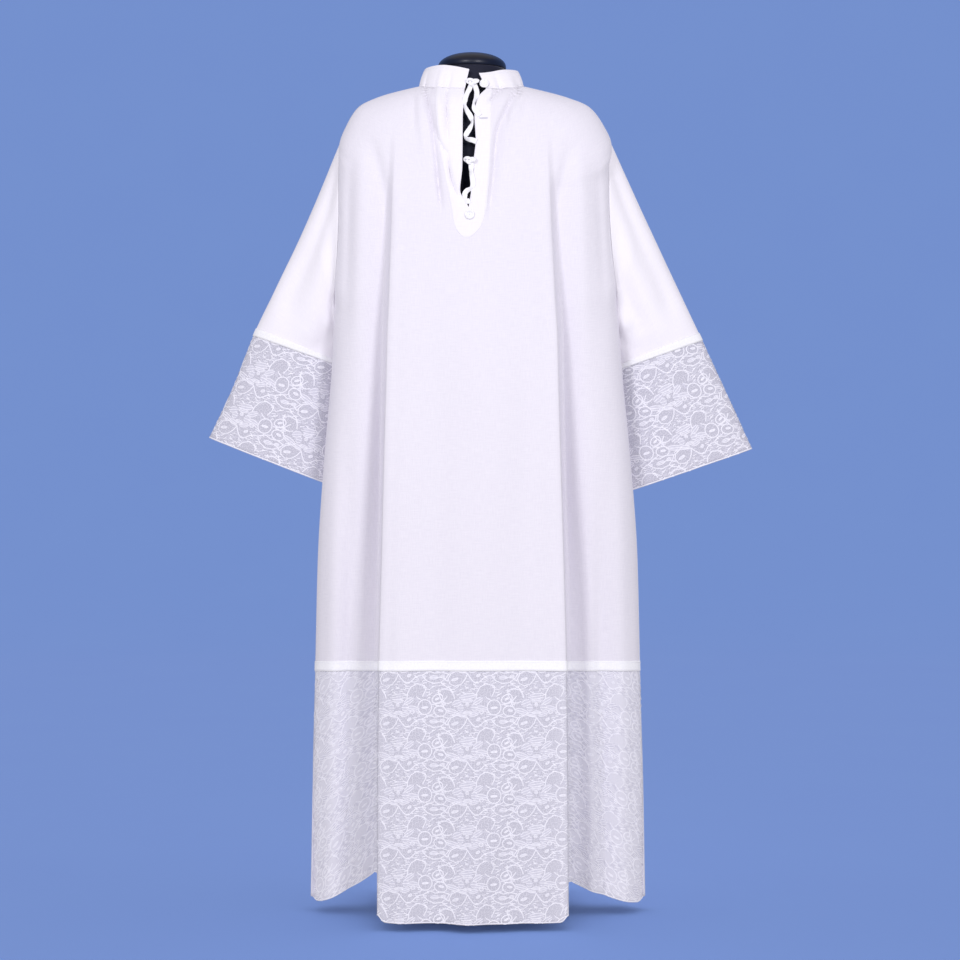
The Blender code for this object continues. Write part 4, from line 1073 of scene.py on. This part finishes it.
# %% Placket with its point
FACING = (  # a row of the front, and X of the facing's two sides there
    (0, -0.0630, 0.0330), (1, -0.0620, 0.0328), (2, -0.0595, 0.0324), (3, -0.0555, 0.0318),
    (4, -0.0480, 0.0302), (5, -0.0395, 0.0276), (6, -0.0340, 0.0250), (6.4, -0.0310, 0.0205),
    (6.6, -0.0285, 0.0165), (6.78, -0.0225, 0.0080), (6.9, -0.0150, -0.0010), (6.97, -0.0095, -0.0070),
)  # fmt: skip
FACING_THICK = 0.0008
FACED = 20  # columns on either side of the slit
LIP = 0.0008  # the facing reaches this far into the slit on each side
LEFT_ENDS, RIGHT_STARTS = -0.0055, -0.0049  # X that its two halves don't pass
NECK_ROWS, NECK_WIDTH = 0.6, 0.004  # its right half keeps a width at the neckline
CLOSED = (0.46, 0.50)  # below the slit the two middle columns run at these shares


def facing_line(v):
    """Points across the facing at row v of the front: left half, slit, right half."""
    left, right = from_table(FACING, [v])[0]
    _, slit_left, slit_right, _ = slit(v)
    gap_left, gap_right = min(slit_left + LIP, LEFT_ENDS), max(slit_right - LIP, RIGHT_STARTS)
    if v < NECK_ROWS:
        gap_right = min(gap_right, right - NECK_WIDTH)
    if v > SLIT_END_ROW:
        gap_left, gap_right = (left + (right - left) * share for share in CLOSED)
    halves = np.linspace(left, gap_left, FACED), np.linspace(gap_right, right, FACED)
    return body_line(np.concatenate([halves[0], [(gap_left + gap_right) / 2], halves[1]]), v)


facing_rows = np.linspace(NECK_ROW, SLIT_END_ROW, 64)
facing_rows = np.append(facing_rows, np.linspace(SLIT_END_ROW, FACING[-1][0], 18)[1:])
open_rows = np.searchsorted(facing_rows, SLIT_END_ROW - 1e-6)
on_front = np.array([facing_line(v) for v in facing_rows])
facing_out = outward(on_front)
rise = np.full(on_front.shape[1], COTTON_THICK + ON_CLOTH)
rise[[0, -1]] = -FACING_THICK  # its outer edges are turned under, so no raw edge shows
rise[[1, -2]] = COTTON_THICK - FACING_THICK / 2
facing_grid = on_front + facing_out * rise[:, None]
facing_grid[-1] = on_front[-1] - facing_out[-1] * FACING_THICK


def facing_hole(r, c):
    return c in (FACED - 1, FACED) and r < open_rows


placket_cloth = cloth("placket_cloth", facing_grid, doubled_cotton, FACING_THICK, facing_hole)
dress("placket")
print("placket rows:", len(facing_rows), "open down to row", open_rows)

# %% [markdown]
# ## Stitching of the facing
# The facing is stitched down near its outer edges and beside the slit. The buttonhole is a bar
# of close stitches worked across its right half: a matt line sunk between two raised ones, all
# in grey darning thread, whose grey is painted shade for the buttonhole's dark slit.

# %% Stitches and the buttonhole
SEAM_IN = 1.2  # columns from the facing's edge to its outer seams
BUTTONHOLE_Z, BUTTONHOLE_X = 1.318, (0.0125, 0.0262)
BAR_STEP = 0.0007  # between the lines of a buttonhole
face = facing_grid + facing_out * (FACING_THICK + SEAM_UP)


def line_down(grid, column, last):
    """A line down a grid at a column that may lie between two, up to its last row."""
    low = int(column)
    return (grid[:, low] + (grid[:, low + 1] - grid[:, low]) * (column - low))[:last]


places = [(column, -3) for column in (SEAM_IN, 2 * FACED - SEAM_IN)]
places += [(column, open_rows + 1) for column in (FACED - 2.0, FACED + 2.0)]
seams = [(line_down(face, *place), line_down(facing_out, *place)) for place in places]
placket_stitches = stitched("placket_stitches", seams, lace_thread)

row = np.abs(facing_grid[:, FACED + 4, 2] - BUTTONHOLE_Z).argmin()
hole_x = np.linspace(*BUTTONHOLE_X, 12)
right_half = face[row, FACED:]
hole_yz = [np.interp(hole_x, right_half[:, 0], right_half[:, k]) for k in (1, 2)]
bar = np.stack([hole_x, *hole_yz], axis=1)
bar_out = np.repeat(facing_out[row, FACED + 4][None], len(bar), axis=0)
work = ThreadWork()
for drop in (-BAR_STEP, 0.0, BAR_STEP):
    line = bar + np.array((0, 0, drop)) + bar_out * (0.0004 if drop else -0.0002)
    work.ribbons(line[None], bar_out[None], None, 0.0008, 0.0004)
# the stitches are real thread; their grey darning thread is painted shade for the buttonhole's slit
buttonhole = work.make("buttonhole_stitches", darning_thread)
print("placket stitches:", len(placket_stitches.data.polygons) // 6)

# %% [markdown]
# ## Collar
# The stand collar is a folded band that holds the gathers of the neck. It stands almost
# upright, its ends do not quite meet, and its edges are rolled, so the band gets real
# thickness and a small bevel. Two rows of stitches run along it.

# %% Stand collar
COLLAR_TOP = (  # degrees from the front, anticlockwise from above, and the top's height there
    (-90, 1.4160), (-45, 1.4150), (-3, 1.4050), (9, 1.3985),
    (45, 1.4075), (90, 1.4140), (180, 1.4270), (270, 1.4160),
)  # fmt: skip
OPEN_BOTTOM, OPEN_TOP = (-7.0, 16.5), (-2.4, 9.2)  # degrees between which it is open
COLLAR_BOW = 0.0016  # the band bows outwards by this, half way up
COLLAR_TOP_HALF_WIDTH, COLLAR_TOP_FRONT, COLLAR_TOP_BACK = 0.0770, 0.0680, 0.0620
BAND_THICK = 0.0022


def neck_edge(angle):
    """The neckline at an angle from the front, in degrees."""
    neck = girth(NECK_ROW)
    x = neck["mid_x"] + neck["half"] * math.sin(math.radians(angle))
    return body_line(np.array([x]), NECK_ROW, math.cos(math.radians(angle)) < 0)[0]


def collar_line(low_angle, top_angle):
    """Points up the collar at these angles, bowed a little outwards."""
    turn = math.radians(top_angle)
    depth = COLLAR_TOP_FRONT if math.cos(turn) > 0 else COLLAR_TOP_BACK
    key = top_angle - 360 if top_angle > 270 else top_angle
    top_z = from_table(COLLAR_TOP, [key])[0]
    top_x = girth(NECK_ROW)["mid_x"] + COLLAR_TOP_HALF_WIDTH * math.sin(turn)
    top = np.array((top_x, -depth * math.cos(turn), top_z))
    away = np.array((math.sin(turn), -math.cos(turn), 0))
    low = neck_edge(low_angle) - away * 0.0010 + (0, 0, -0.0012)
    share = np.linspace(0, 1, 8)[:, None]
    ripple = 0.0005 * math.sin(turn * 9 + 1) + 0.0004 * math.sin(turn * 17)
    bow = COLLAR_BOW * 4 * share * (1 - share)
    return low + (top - low) * share + away * (bow + ripple * (1 - share))


# all the way round, from one side of the opening to the other
collar_lines = [
    collar_line(*(start + (360 + end - start) * t for end, start in (OPEN_BOTTOM, OPEN_TOP)))
    for t in np.linspace(0, 1, 150)
]
collar_grid = np.array(collar_lines).transpose(1, 0, 2)[::-1]
collar_band = cloth("collar_band", collar_grid, doubled_cotton, BAND_THICK)
edge = collar_band.modifiers.new("rolled_edge", "BEVEL")
edge.width, edge.segments, edge.limit_method, edge.angle_limit = 0.0008, 3, "ANGLE", 1.0
dress("collar")
collar_out = outward(collar_grid)
face = collar_grid + collar_out * (BAND_THICK + SEAM_UP)
seams = [(face[r], collar_out[r]) for r in (1, 6)]
collar_stitches = stitched("collar_stitches", seams, lace_thread)
print("collar, metres long at its foot:", distances(collar_grid[-1])[-1].round(3))

# %% [markdown]
# ## Buttons
# Two small shirt buttons of pearly plastic, turned from a rod: a raised rim and a dished
# middle, sewn on with a cross of thread. Turning is a profile spun about an axis, so one
# helper makes the buttons here, and the form's cap, pole and base further on.

# %% Turned shapes
SIDES = 96


def turned(name, profile, material, steps=SIDES, place=(0, 0, 0), lean=None):
    """A profile of (radius, height) pairs, from the axis to the axis, spun about Z."""
    angles = np.linspace(0, 2 * np.pi, steps, endpoint=False)
    rings = [[(r * math.cos(a), r * math.sin(a), h) for a in angles] for r, h in profile[1:-1]]
    verts = [(0, 0, profile[0][1])] + [p for ring in rings for p in ring] + [(0, 0, profile[-1][1])]
    faces = [(0, 1 + s, 1 + (s + 1) % steps) for s in range(steps)]
    for r in range(len(rings) - 1):
        a, b = 1 + r * steps, 1 + (r + 1) * steps
        faces += [(a + s, b + s, b + (s + 1) % steps, a + (s + 1) % steps) for s in range(steps)]
    last, a = len(verts) - 1, 1 + (len(rings) - 1) * steps
    faces += [(last, a + (s + 1) % steps, a + s) for s in range(steps)]
    verts = np.array(verts)
    if lean is not None:
        turn = Vector((0, 0, 1)).rotation_difference(Vector(lean)).to_matrix()
        verts = verts @ np.array(turn).T
    piece = add_mesh(name, verts + np.array(place), faces, material)
    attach(piece, "root")
    return piece


print("a turned shape has", SIDES, "sides if nothing else is asked for")

# %% [markdown]
# ## Pearl plastic
# Polyester resin is cast into rods with a pearl pigment, and the turned button is polished.
# Light goes a millimetre or so into it, so its edges glow a little; the swirl of the pigment
# gives two close whites, and the polish a sharp, small highlight, made with a clear coat.

# %% Pearl plastic and sewing on the buttons
pearl, tree, shader = new_material(
    "pearl button plastic", Roughness=0.22, IOR=1.53, Coat_Weight=0.4, Coat_Roughness=0.08,
    Subsurface_Weight=0.15, Subsurface_Radius=(0.0012, 0.0012, 0.0014),
)  # fmt: skip
SWIRL = 420.0  # swirls of pigment to the metre, 2.4 mm apart
two_tone(tree, shader, speckle(tree, SWIRL, Detail=1.0, Distortion=1.2), "F0EFF5", "FEFEFF")
BUTTON = (  # radius and height, from the middle of the face over the rim to the back
    (0, 0.0016), (0.0012, 0.0016), (0.0034, 0.0017), (0.0046, 0.0023), (0.0056, 0.0031),
    (0.0066, 0.0033), (0.0073, 0.003), (0.0078, 0.0022), (0.0078, 0.0012), (0.0073, 0.0004),
    (0.006, 0), (0, 0),
)  # fmt: skip
CROSS = (((-1, -1), (1, 1)), ((-1, 1), (1, -1)))  # the two threads, from corner to corner
CROSS_HALF, THREAD_UP, THREAD_BOW = 0.0013, 0.0015, 0.0007
BUTTON_ANGLE = 15.0  # degrees of the collar's button from the front


def sew_button(name, node, place, out):
    """A button at a place on the cloth, facing out, with its cross of thread."""
    button = turned(name, BUTTON, pearl, 64, place, out)
    dress(node)
    side = Vector(out).cross((0, 0, 1)).normalized()
    up = side.cross(Vector(out))
    lines = []
    for a, b in CROSS:
        run = []
        for t in np.linspace(0, 1, 6):
            over = side * (a[0] + (b[0] - a[0]) * t) + up * (a[1] + (b[1] - a[1]) * t)
            high = THREAD_UP + THREAD_BOW * math.sin(math.pi * t)
            run.append(list(Vector(place) + over * CROSS_HALF + Vector(out) * high))
        lines.append(run)
    work = ThreadWork()
    normals = np.broadcast_to(np.array(out), (2, 6, 3))
    work.ribbons(np.array(lines), normals, None, 0.0010, 0.0004)
    work.make(name + "_thread", lace_thread).parent = button


def facing_face(x, z):
    """The point and normal of the placket's face at a place on the front."""
    flat = np.linalg.norm(face_of_placket[..., [0, 2]] - (x, z), axis=-1)
    r, c = np.unravel_index(flat.argmin(), flat.shape)
    near = face_of_placket[r, c]
    return near + (x - near[0], 0, z - near[2]), facing_out[r, c]


face_of_placket = facing_grid + facing_out * FACING_THICK
spot, out = facing_face(-0.0033, 1.1560)
sew_button("button_low", "placket_button", spot + out * 0.0003, out)
line = collar_line(BUTTON_ANGLE, BUTTON_ANGLE)
out = Vector(np.cross((1, 0, 0), line[-1] - line[0])).normalized()
spot = line[0] + (line[-1] - line[0]) * 0.30 + np.array(out) * (BAND_THICK + 0.0018)
sew_button("button_high", "collar_button", spot, out)
print("the collar's button is at", [round(float(v), 4) for v in spot])

# %% [markdown]
# ## Lacing
# A narrow tape is knotted at the collar, zigzags over the open slit to a second knot, and ends
# in a loop above the lower button. A flat tape twists as it turns, so each point of its path
# also says how far the tape is rolled there. A knot is the same tape drawn through itself:
# its line is a trefoil, the simplest curve that is truly knotted.

# %% Routes of the tape
LACING_WIDTH, LACING_THICK = 0.0086, 0.0016
KNOT_WIDTH, KNOT_THICK = 0.0046, 0.0026  # drawn tight, the tape folds on itself
KNOT_OUT = 0.0048  # from the placket's face to the middle of a knot
STRAND_STEP = 0.0012  # metres between the rings of a strand
LACING = {  # X, Z, how far out from the facing, all in mm, and the roll in degrees
    "left": (
        (-1, 1380, 1.5, 20), (-4, 1370, 1.0, 5), (-8.2, 1360, 0.6, 15), (-11, 1350, 0.4, 0),
        (-11.4, 1340, 0.4, 35), (-7.8, 1330, 0.8, 20), (-2, 1320, 0.6, 0), (0.6, 1311, 0.6, 40),
        (-3, 1300, 0.8, 15), (-9, 1289, 0.8, 0), (-9.8, 1285, 1.0, 35), (-6.2, 1281, 1.0, 30),
        (0, 1280, 0.9, 10), (8, 1277, 0.6, 0),
    ),
    "right": (
        (4, 1380, 1.5, -20), (7, 1371, 1.0, -5), (8.4, 1362, 0.8, 0), (6.2, 1352, 0.9, -30),
        (3.6, 1343, 0.9, -40), (4, 1335, 0.9, -15), (8.5, 1327, 0.7, 0), (13, 1321, 0.3, 0),
    ),
    "low": (
        (-4, 1247, 1.2, 10), (-0.8, 1237, 0.9, 0), (-1, 1227, 0.7, 30), (1, 1216, 0.6, 10),
        (2.2, 1206, 0.6, 0), (-1, 1199, 0.9, -30), (-7.8, 1195, 1.0, -15), (-11.2, 1189, 1.0, 0),
        (-10.8, 1182, 1.0, 25), (-6.2, 1177.5, 0.8, 10), (-2, 1179, 0.5, 0),
    ),
}  # fmt: skip
KNOTS = {  # X, Z, then half its width, height and depth
    "collar": (0.0012, 1.3820, 0.0100, 0.0052, 0.0034),
    "middle": (-0.0030, 1.2455, 0.0092, 0.0052, 0.0034),
}

print("points of the routes:", {strand: len(route) for strand, route in LACING.items()})

# %% [markdown]
# ## Drawing the tape
# A flat tape is a tube with a flattened ring, twelve points round, carried along its route
# and turned by its roll. The same loft through rings makes the form's torso further on.

# %% Strands and knots
def loft(name, rings, material, closed=False):
    """A tube through rings of points, with its ends filled in."""
    rings = np.asarray(rings)
    n, m = rings.shape[:2]
    faces = []
    for r in range(n if closed else n - 1):
        a, b = r * m, ((r + 1) % n) * m
        faces += [(a + s, b + s, b + (s + 1) % m, a + (s + 1) % m) for s in range(m)]
    if not closed:
        faces += [tuple(range(m)), tuple(range((n - 1) * m, n * m))[::-1]]
    piece = add_mesh(name, rings, faces, material)
    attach(piece, "root")
    tidy = bmesh.new()
    tidy.from_mesh(piece.data)
    bmesh.ops.recalc_face_normals(tidy, faces=tidy.faces)
    tidy.to_mesh(piece.data)
    tidy.free()
    return piece


def flat_tape(points, rolls, width, thick):
    """Rings of a flat tape that faces the front, rolled about its own line by the rolls."""
    along = np.gradient(points, axis=0)
    along /= np.linalg.norm(along, axis=1, keepdims=True)
    side = np.cross((0, -1.0, 0), along)
    side /= np.linalg.norm(side, axis=1, keepdims=True)
    up = np.cross(along, side)
    c, s = np.cos(rolls)[:, None], np.sin(rolls)[:, None]
    wide, high = side * c + up * s, up * c - side * s
    rings = []
    for turn in np.linspace(0, 2 * np.pi, 12, endpoint=False):
        a = math.copysign(abs(math.cos(turn)) ** 0.6, math.cos(turn)) * width / 2
        b = math.copysign(abs(math.sin(turn)) ** 0.6, math.sin(turn)) * thick / 2
        rings.append(points + wide * a + high * b)
    return np.stack(rings, axis=1)


def face_y(z):
    """Y of the placket's face beside the slit at height z, level above the neckline."""
    column = face_of_placket[:, FACED + 2]
    order = np.argsort(column[:, 2])
    return np.interp(z, column[order, 2], column[order, 1])


for strand, route in LACING.items():
    route = np.array(route) / (1000, 1000, 1, 1)
    run = distances(route[:, :2])
    t = np.arange(0, run[-1], STRAND_STEP)
    x, z, out_mm, roll = smooth_line(run, route, t).T
    points = np.stack([x, face_y(z) - out_mm / 1000 - LACING_THICK / 2, z], axis=1)
    rings = flat_tape(points, np.radians(roll) * 1.6, LACING_WIDTH, LACING_THICK)
    piece = loft("lace_strand_" + strand, rings, tape_cotton)
    dress("lacing_" + strand)

for knot, (x, z, wide, high, deep) in KNOTS.items():
    t = np.linspace(0, 2 * np.pi, 90, endpoint=False)
    curl_x, curl_z = (np.sin(t) + 2 * np.sin(2 * t)) / 3, (np.cos(t) - 2 * np.cos(2 * t)) / 3
    points = np.stack([curl_x, -np.sin(3 * t), curl_z], axis=1) * (wide, deep, high)
    points = points + (x, face_y(z) - KNOT_OUT, z)
    rings = flat_tape(points, np.sin(t * 2) * 0.5, KNOT_WIDTH, KNOT_THICK)
    piece = loft("knot_of_tape_" + knot, rings, tape_cotton, closed=True)
    dress("knot_" + knot)
print("strands:", list(LACING))

# %% [markdown]
# ## Dress form
# The form that wears the robe has no limbs: a torso of moulded foam under a stretched black
# cover. It only carries the cloth at the shoulders, so it keeps some millimetres off the
# creases, more in front, where the gathers go in deepest. Its upper rings are the robe's own
# girths drawn in; a smooth line runs through all of its rings, so it has no edges.

# %% Rings of the form
FORM_INSET = (0.0050, 0.0045, 0.0050, 0.0065, 0.0170, 0.0260)  # of the robe's first rows
FORM_SIDE_INSET = (0.0026, 0.0026, 0.0034, 0.0055, 0.0095, 0.0150)
FORM_CLEAR, FORM_BACK_CLEAR = 0.0095, 0.0035
FORM = (  # Z, half width, Y of the front and of the back
    (1.1400, 0.1860, -0.1100, 0.1030),
    (1.0650, 0.1760, -0.1080, 0.0980),
    (0.9650, 0.1560, -0.0980, 0.0860),
    (0.8750, 0.1600, -0.0980, 0.0900),
    (0.8050, 0.1640, -0.0990, 0.0950),
    (0.7830, 0.1580, -0.0940, 0.0900),
    (0.7750, 0.1500, -0.0860, 0.0900),
)
NECK_RADIUS, NECK_TOP = 0.0575, 1.416
NECK = ((0, 0), (0, 0.012), (0.004, 0.023))  # wider than the neck's radius, and below its top
around = np.linspace(0, 2 * np.pi, 96, endpoint=False)
c, s = np.cos(around), np.sin(around)
rings = []
for wider, lower in NECK:
    radius = NECK_RADIUS + wider
    rings.append(np.stack([radius * c, radius * s, np.full_like(c, NECK_TOP - lower)], axis=1))
for row, (inset, side_inset) in enumerate(zip(FORM_INSET, FORM_SIDE_INSET)):
    measures = girth(row)
    out = np.abs(s) ** SQUARENESS
    x = measures["mid_x"] + (measures["half"] - side_inset) * c
    back_y = measures["back_y"] - inset - FORM_BACK_CLEAR
    front_y = measures["front_y"] + inset + FORM_CLEAR
    middle = np.where(s > 0, measures["back_z"], measures["front_z"])
    z = measures["side_z"] + (middle - measures["side_z"]) * out**SHOULDER_ROUNDING - inset * 0.6
    rings.append(np.stack([x, np.where(s > 0, back_y, front_y) * out, z], axis=1))
for z, half, front_y, back_y in FORM:
    y = np.where(s > 0, back_y, front_y) * np.abs(s)
    rings.append(np.stack([half * c, y, np.full_like(c, z)], axis=1))
fine = np.linspace(0, len(rings) - 1, (len(rings) - 1) * 5 + 1)
form_rings = smooth_line(range(len(rings)), np.array(rings).reshape(len(rings), -1), fine)
form_rings = form_rings.reshape(len(fine), -1, 3)
print("form rings:", len(fine))

# %% [markdown]
# ## Black jersey
# The cover is a fine cotton jersey, dyed black and pulled tight. Its loops are about 1 mm
# wide: two near blacks and a low bump give the eye a dull, slightly furry surface, and a
# sheen lights the rim, as on any knit. It is rough, so it shows no highlight.

# %% Torso and its cover
LOOPS = 900.0  # loops of the knit to the metre
jersey, tree, shader = new_material(
    "black jersey cover", Roughness=0.75, IOR=1.47, Sheen_Weight=0.35, Sheen_Roughness=0.4
)
two_tone(tree, shader, speckle(tree, LOOPS, Detail=2.0), "0C0C1A", "17172D", bump=(0.4, 0.0004))
torso = loft("form_body", form_rings, jersey)
dress("form_torso")
print("torso faces:", len(torso.data.polygons))

# %% [markdown]
# ## Neck cap
# The cap is turned from beech, stained black and sprayed with a thin lacquer. The lacquer
# gives a soft, broad highlight; the wood under it clouds the black a little, some 25 mm
# apart, because the stain takes unevenly. It is a dome, so its profile is part of a circle.

# %% Cap of lacquered wood
CAP_TOP = 1.4445
CAP_FOOT = 0.0063  # the dome starts this far above the neck's top
CLOUDS = 40.0  # clouds in the stain to the metre
lacquer, tree, shader = new_material(
    "black lacquered wood", Roughness=0.40, IOR=1.45, Coat_Weight=0.10, Coat_Roughness=0.20
)
two_tone(tree, shader, speckle(tree, CLOUDS, Detail=3.0), "060610", "0E0E20")
height = CAP_TOP - NECK_TOP - CAP_FOOT
profile = [(0, CAP_TOP)]
for turn in np.linspace(0.08, math.pi / 2, 16):
    z = CAP_TOP - height + height * math.cos(turn)
    profile.append((NECK_RADIUS * math.sin(turn) ** 0.9, z))
profile += [(NECK_RADIUS, NECK_TOP + 0.0013), (NECK_RADIUS - 0.001, NECK_TOP + 0.0003)]
cap = turned("cap_of_neck", profile + [(0, NECK_TOP + 0.0003)], lacquer)
dress("neck_cap")
print("cap, metres high:", round(CAP_TOP - NECK_TOP, 4))

# %% [markdown]
# ## Stand
# A plain round stand: a turned steel base and a drawn steel pole. Both are brushed along
# fine lines, which run round them and break up a highlight. The lines are under 0.1 mm
# apart on real steel; here they are drawn 0.7 mm apart, so that some show.

# %% Base and pole of brushed steel
BRUSHED = (60, 60, 1400)  # pattern to the metre: long round the piece, short up it
steel, tree, shader = new_material("brushed steel", Metallic=1.0, Roughness=0.34)
place = add_node(tree, "ShaderNodeTexCoord").outputs["Object"]
lines = add_node(tree, "ShaderNodeMapping", {"Scale": BRUSHED}, {"Vector": place}).outputs[0]
grain = add_node(tree, "ShaderNodeTexNoise", {"Scale": 1.0, "Detail": 2.0}, {"Vector": lines})
two_tone(tree, shader, grain.outputs[0], "A9ABB0", "C4C6CA", bump=(0.15, 0.0002))
BASE = (  # radius and height: the socket of the pole, then the disc and its rounded rim
    (0, 0.04), (0.02, 0.04), (0.0245, 0.0392), (0.0262, 0.037), (0.0275, 0.03), (0.03, 0.0152),
    (0.0318, 0.0115), (0.036, 0.0092), (0.07, 0.0088), (0.112, 0.0081), (0.117, 0.0072),
    (0.1195, 0.0052), (0.12, 0.003), (0.1198, 0.001), (0.1188, 0), (0, 0),
)  # fmt: skip
POLE = (
    (0, 0.7747), (0.0132, 0.7747), (0.014, 0.7739), (0.014, 0.041), (0.0132, 0.0403), (0, 0.0403),
)  # fmt: skip
base = turned("round_base", BASE, steel, 128)
pole = turned("steel_pole", POLE, steel, 64)
dress("stand_base")
dress("stand_pole")
print("stand, metres high:", POLE[0][1])

# %% [markdown]
# ## What the cloth was cut from
# Before it was sewn, each piece of cloth was flat. Its cut is printed here in metres: the
# widest width and the length of the piece, and its own area where it isn't a rectangle.


def area_of(grid):
    """The area of a grid of cloth in square metres."""
    a, b = grid[1:, 1:] - grid[:-1, :-1], grid[:-1, 1:] - grid[1:, :-1]
    return float(np.linalg.norm(np.cross(a, b), axis=2).sum() / 2)


def cut_of(piece, grid):
    """Prints a sheet's cut from the widest row and the longest line of its grid, and returns its area."""
    width = round(float(distances(grid)[:, -1].max()), 3)
    length = round(float(distances(grid.transpose(1, 0, 2))[:, -1].max()), 3)
    area = min(area_of(grid), width * length)
    print(f"{piece.name}: {width:.3f} by {length:.3f} m, {area:.3f} square metres")
    return area


total = cut_of(front_panel, front)
total += cut_of(back_panel, back)
total += cut_of(hem_net, hem_grid)
total += cut_of(hem_band, tape_grid)
total += cut_of(placket_cloth, facing_grid)
total += cut_of(collar_band, collar_grid)
for sleeve, upper, net, lower, figures, tape, around in sleeve_pieces:
    total += cut_of(sleeve, upper)
    total += cut_of(net, lower)
    total += cut_of(tape, around)
print(f"cloth and lace together: {total:.2f} square metres")

# %% [markdown]
# ## Floor and backdrop
# The robe stands in a round studio: a plain floor of pale blue paper that curves up into a
# wall on every side, so no horizon cuts behind the robe, whichever way it is seen from. Matt
# paper gives no highlight, and its fibres cloud it very faintly. The wall lets the sky's
# light pass and takes no part in bounced light, because a real studio's wall is further off,
# and its blue would tint white cloth.

# %% Round studio of pale paper
WALL_AT, COVE, WALL_TOP = 7.0, 2.0, 9.0
profile = [(0.02, 0.0), (2.0, 0.0), (WALL_AT - COVE, 0.0)]
for a in np.linspace(0.12, math.pi / 2, 12):
    profile.append((WALL_AT - COVE * (1 - math.sin(a)), COVE * (1 - math.cos(a))))
profile += [(WALL_AT, 5.0), (WALL_AT, WALL_TOP)]
spokes = np.linspace(0, 2 * np.pi, 96, endpoint=False)
rings = [[(r * math.cos(a), r * math.sin(a), z) for a in spokes] for r, z in profile]
CLOUDING = 3.0  # clouds to the metre; the fibres themselves are far too fine to see
paper, tree, shader = new_material("pale studio paper", Roughness=0.9)
two_tone(tree, shader, speckle(tree, CLOUDING, Detail=4.0), "91B6FE", "93B9FF")
studio_faces = grid_faces(len(profile), len(spokes), closed=True)
studio = add_mesh("studio_round", rings, studio_faces, paper)
studio.visible_diffuse = studio.visible_shadow = False
print("studio across:", WALL_AT * 2, "m")

# %% [markdown]
# ## Light and camera
# White cloth is kept pale by an even sky, and modelled by two soft lights of one power in
# front, a little to each side and above: what faces them is bright, and the walls of the
# folds, which turn from both, are shaded. A third light does the same for the back, and
# leaves no highlight. The camera stands level with the middle of the robe, far enough off
# for a long lens, which keeps its sides nearly parallel. The Standard view transform shows
# white as white.

# %% Lights and camera
camera = bpy.data.objects.new("camera", bpy.data.cameras.new("camera"))
camera.location = (0.0135, -3.5, 0.725)
camera.rotation_euler = (math.pi / 2, 0, 0)
camera.data.lens, camera.data.sensor_width = 77.7, 36
bpy.context.scene.collection.objects.link(camera)
bpy.context.scene.camera = camera

world = bpy.data.worlds.new("studio")
world.use_nodes = True
world.node_tree.nodes["Background"].inputs[0].default_value = linear("FAF8FF")
world.node_tree.nodes["Background"].inputs[1].default_value = 0.62
bpy.context.scene.world = world
bpy.context.scene.view_settings.view_transform = "Standard"

unlit = bpy.data.collections.new("lit_by_the_sky_alone")
unlit.objects.link(studio)
unlit.collection_objects[0].light_linking.link_state = "EXCLUDE"


def area_light(name, place, aim, size, power, colour):
    data = bpy.data.lights.new(name, "AREA")
    data.shape, data.size, data.size_y, data.energy = "RECTANGLE", size[0], size[1], power
    data.color = linear(colour)[:3]
    lamp = bpy.data.objects.new(name, data)
    lamp.location = place
    lamp.rotation_euler = (Vector(aim) - Vector(place)).to_track_quat("-Z", "Y").to_euler()
    bpy.context.scene.collection.objects.link(lamp)
    lamp.light_linking.receiver_collection = unlit  # the sky alone lights the studio, evenly
    return lamp


AIM, SOFT, WHITE = (0, 0, 0.75), (0.7, 0.7), "FAF8FF"
area_light("key_light", (-1.35, -3.45, 2.20), AIM, SOFT, 43, WHITE)
area_light("fill_light", (1.35, -3.45, 1.90), AIM, SOFT, 43, WHITE)
area_light("back_light", (1.2, 3.6, 1.9), AIM, SOFT, 72, WHITE).visible_glossy = False
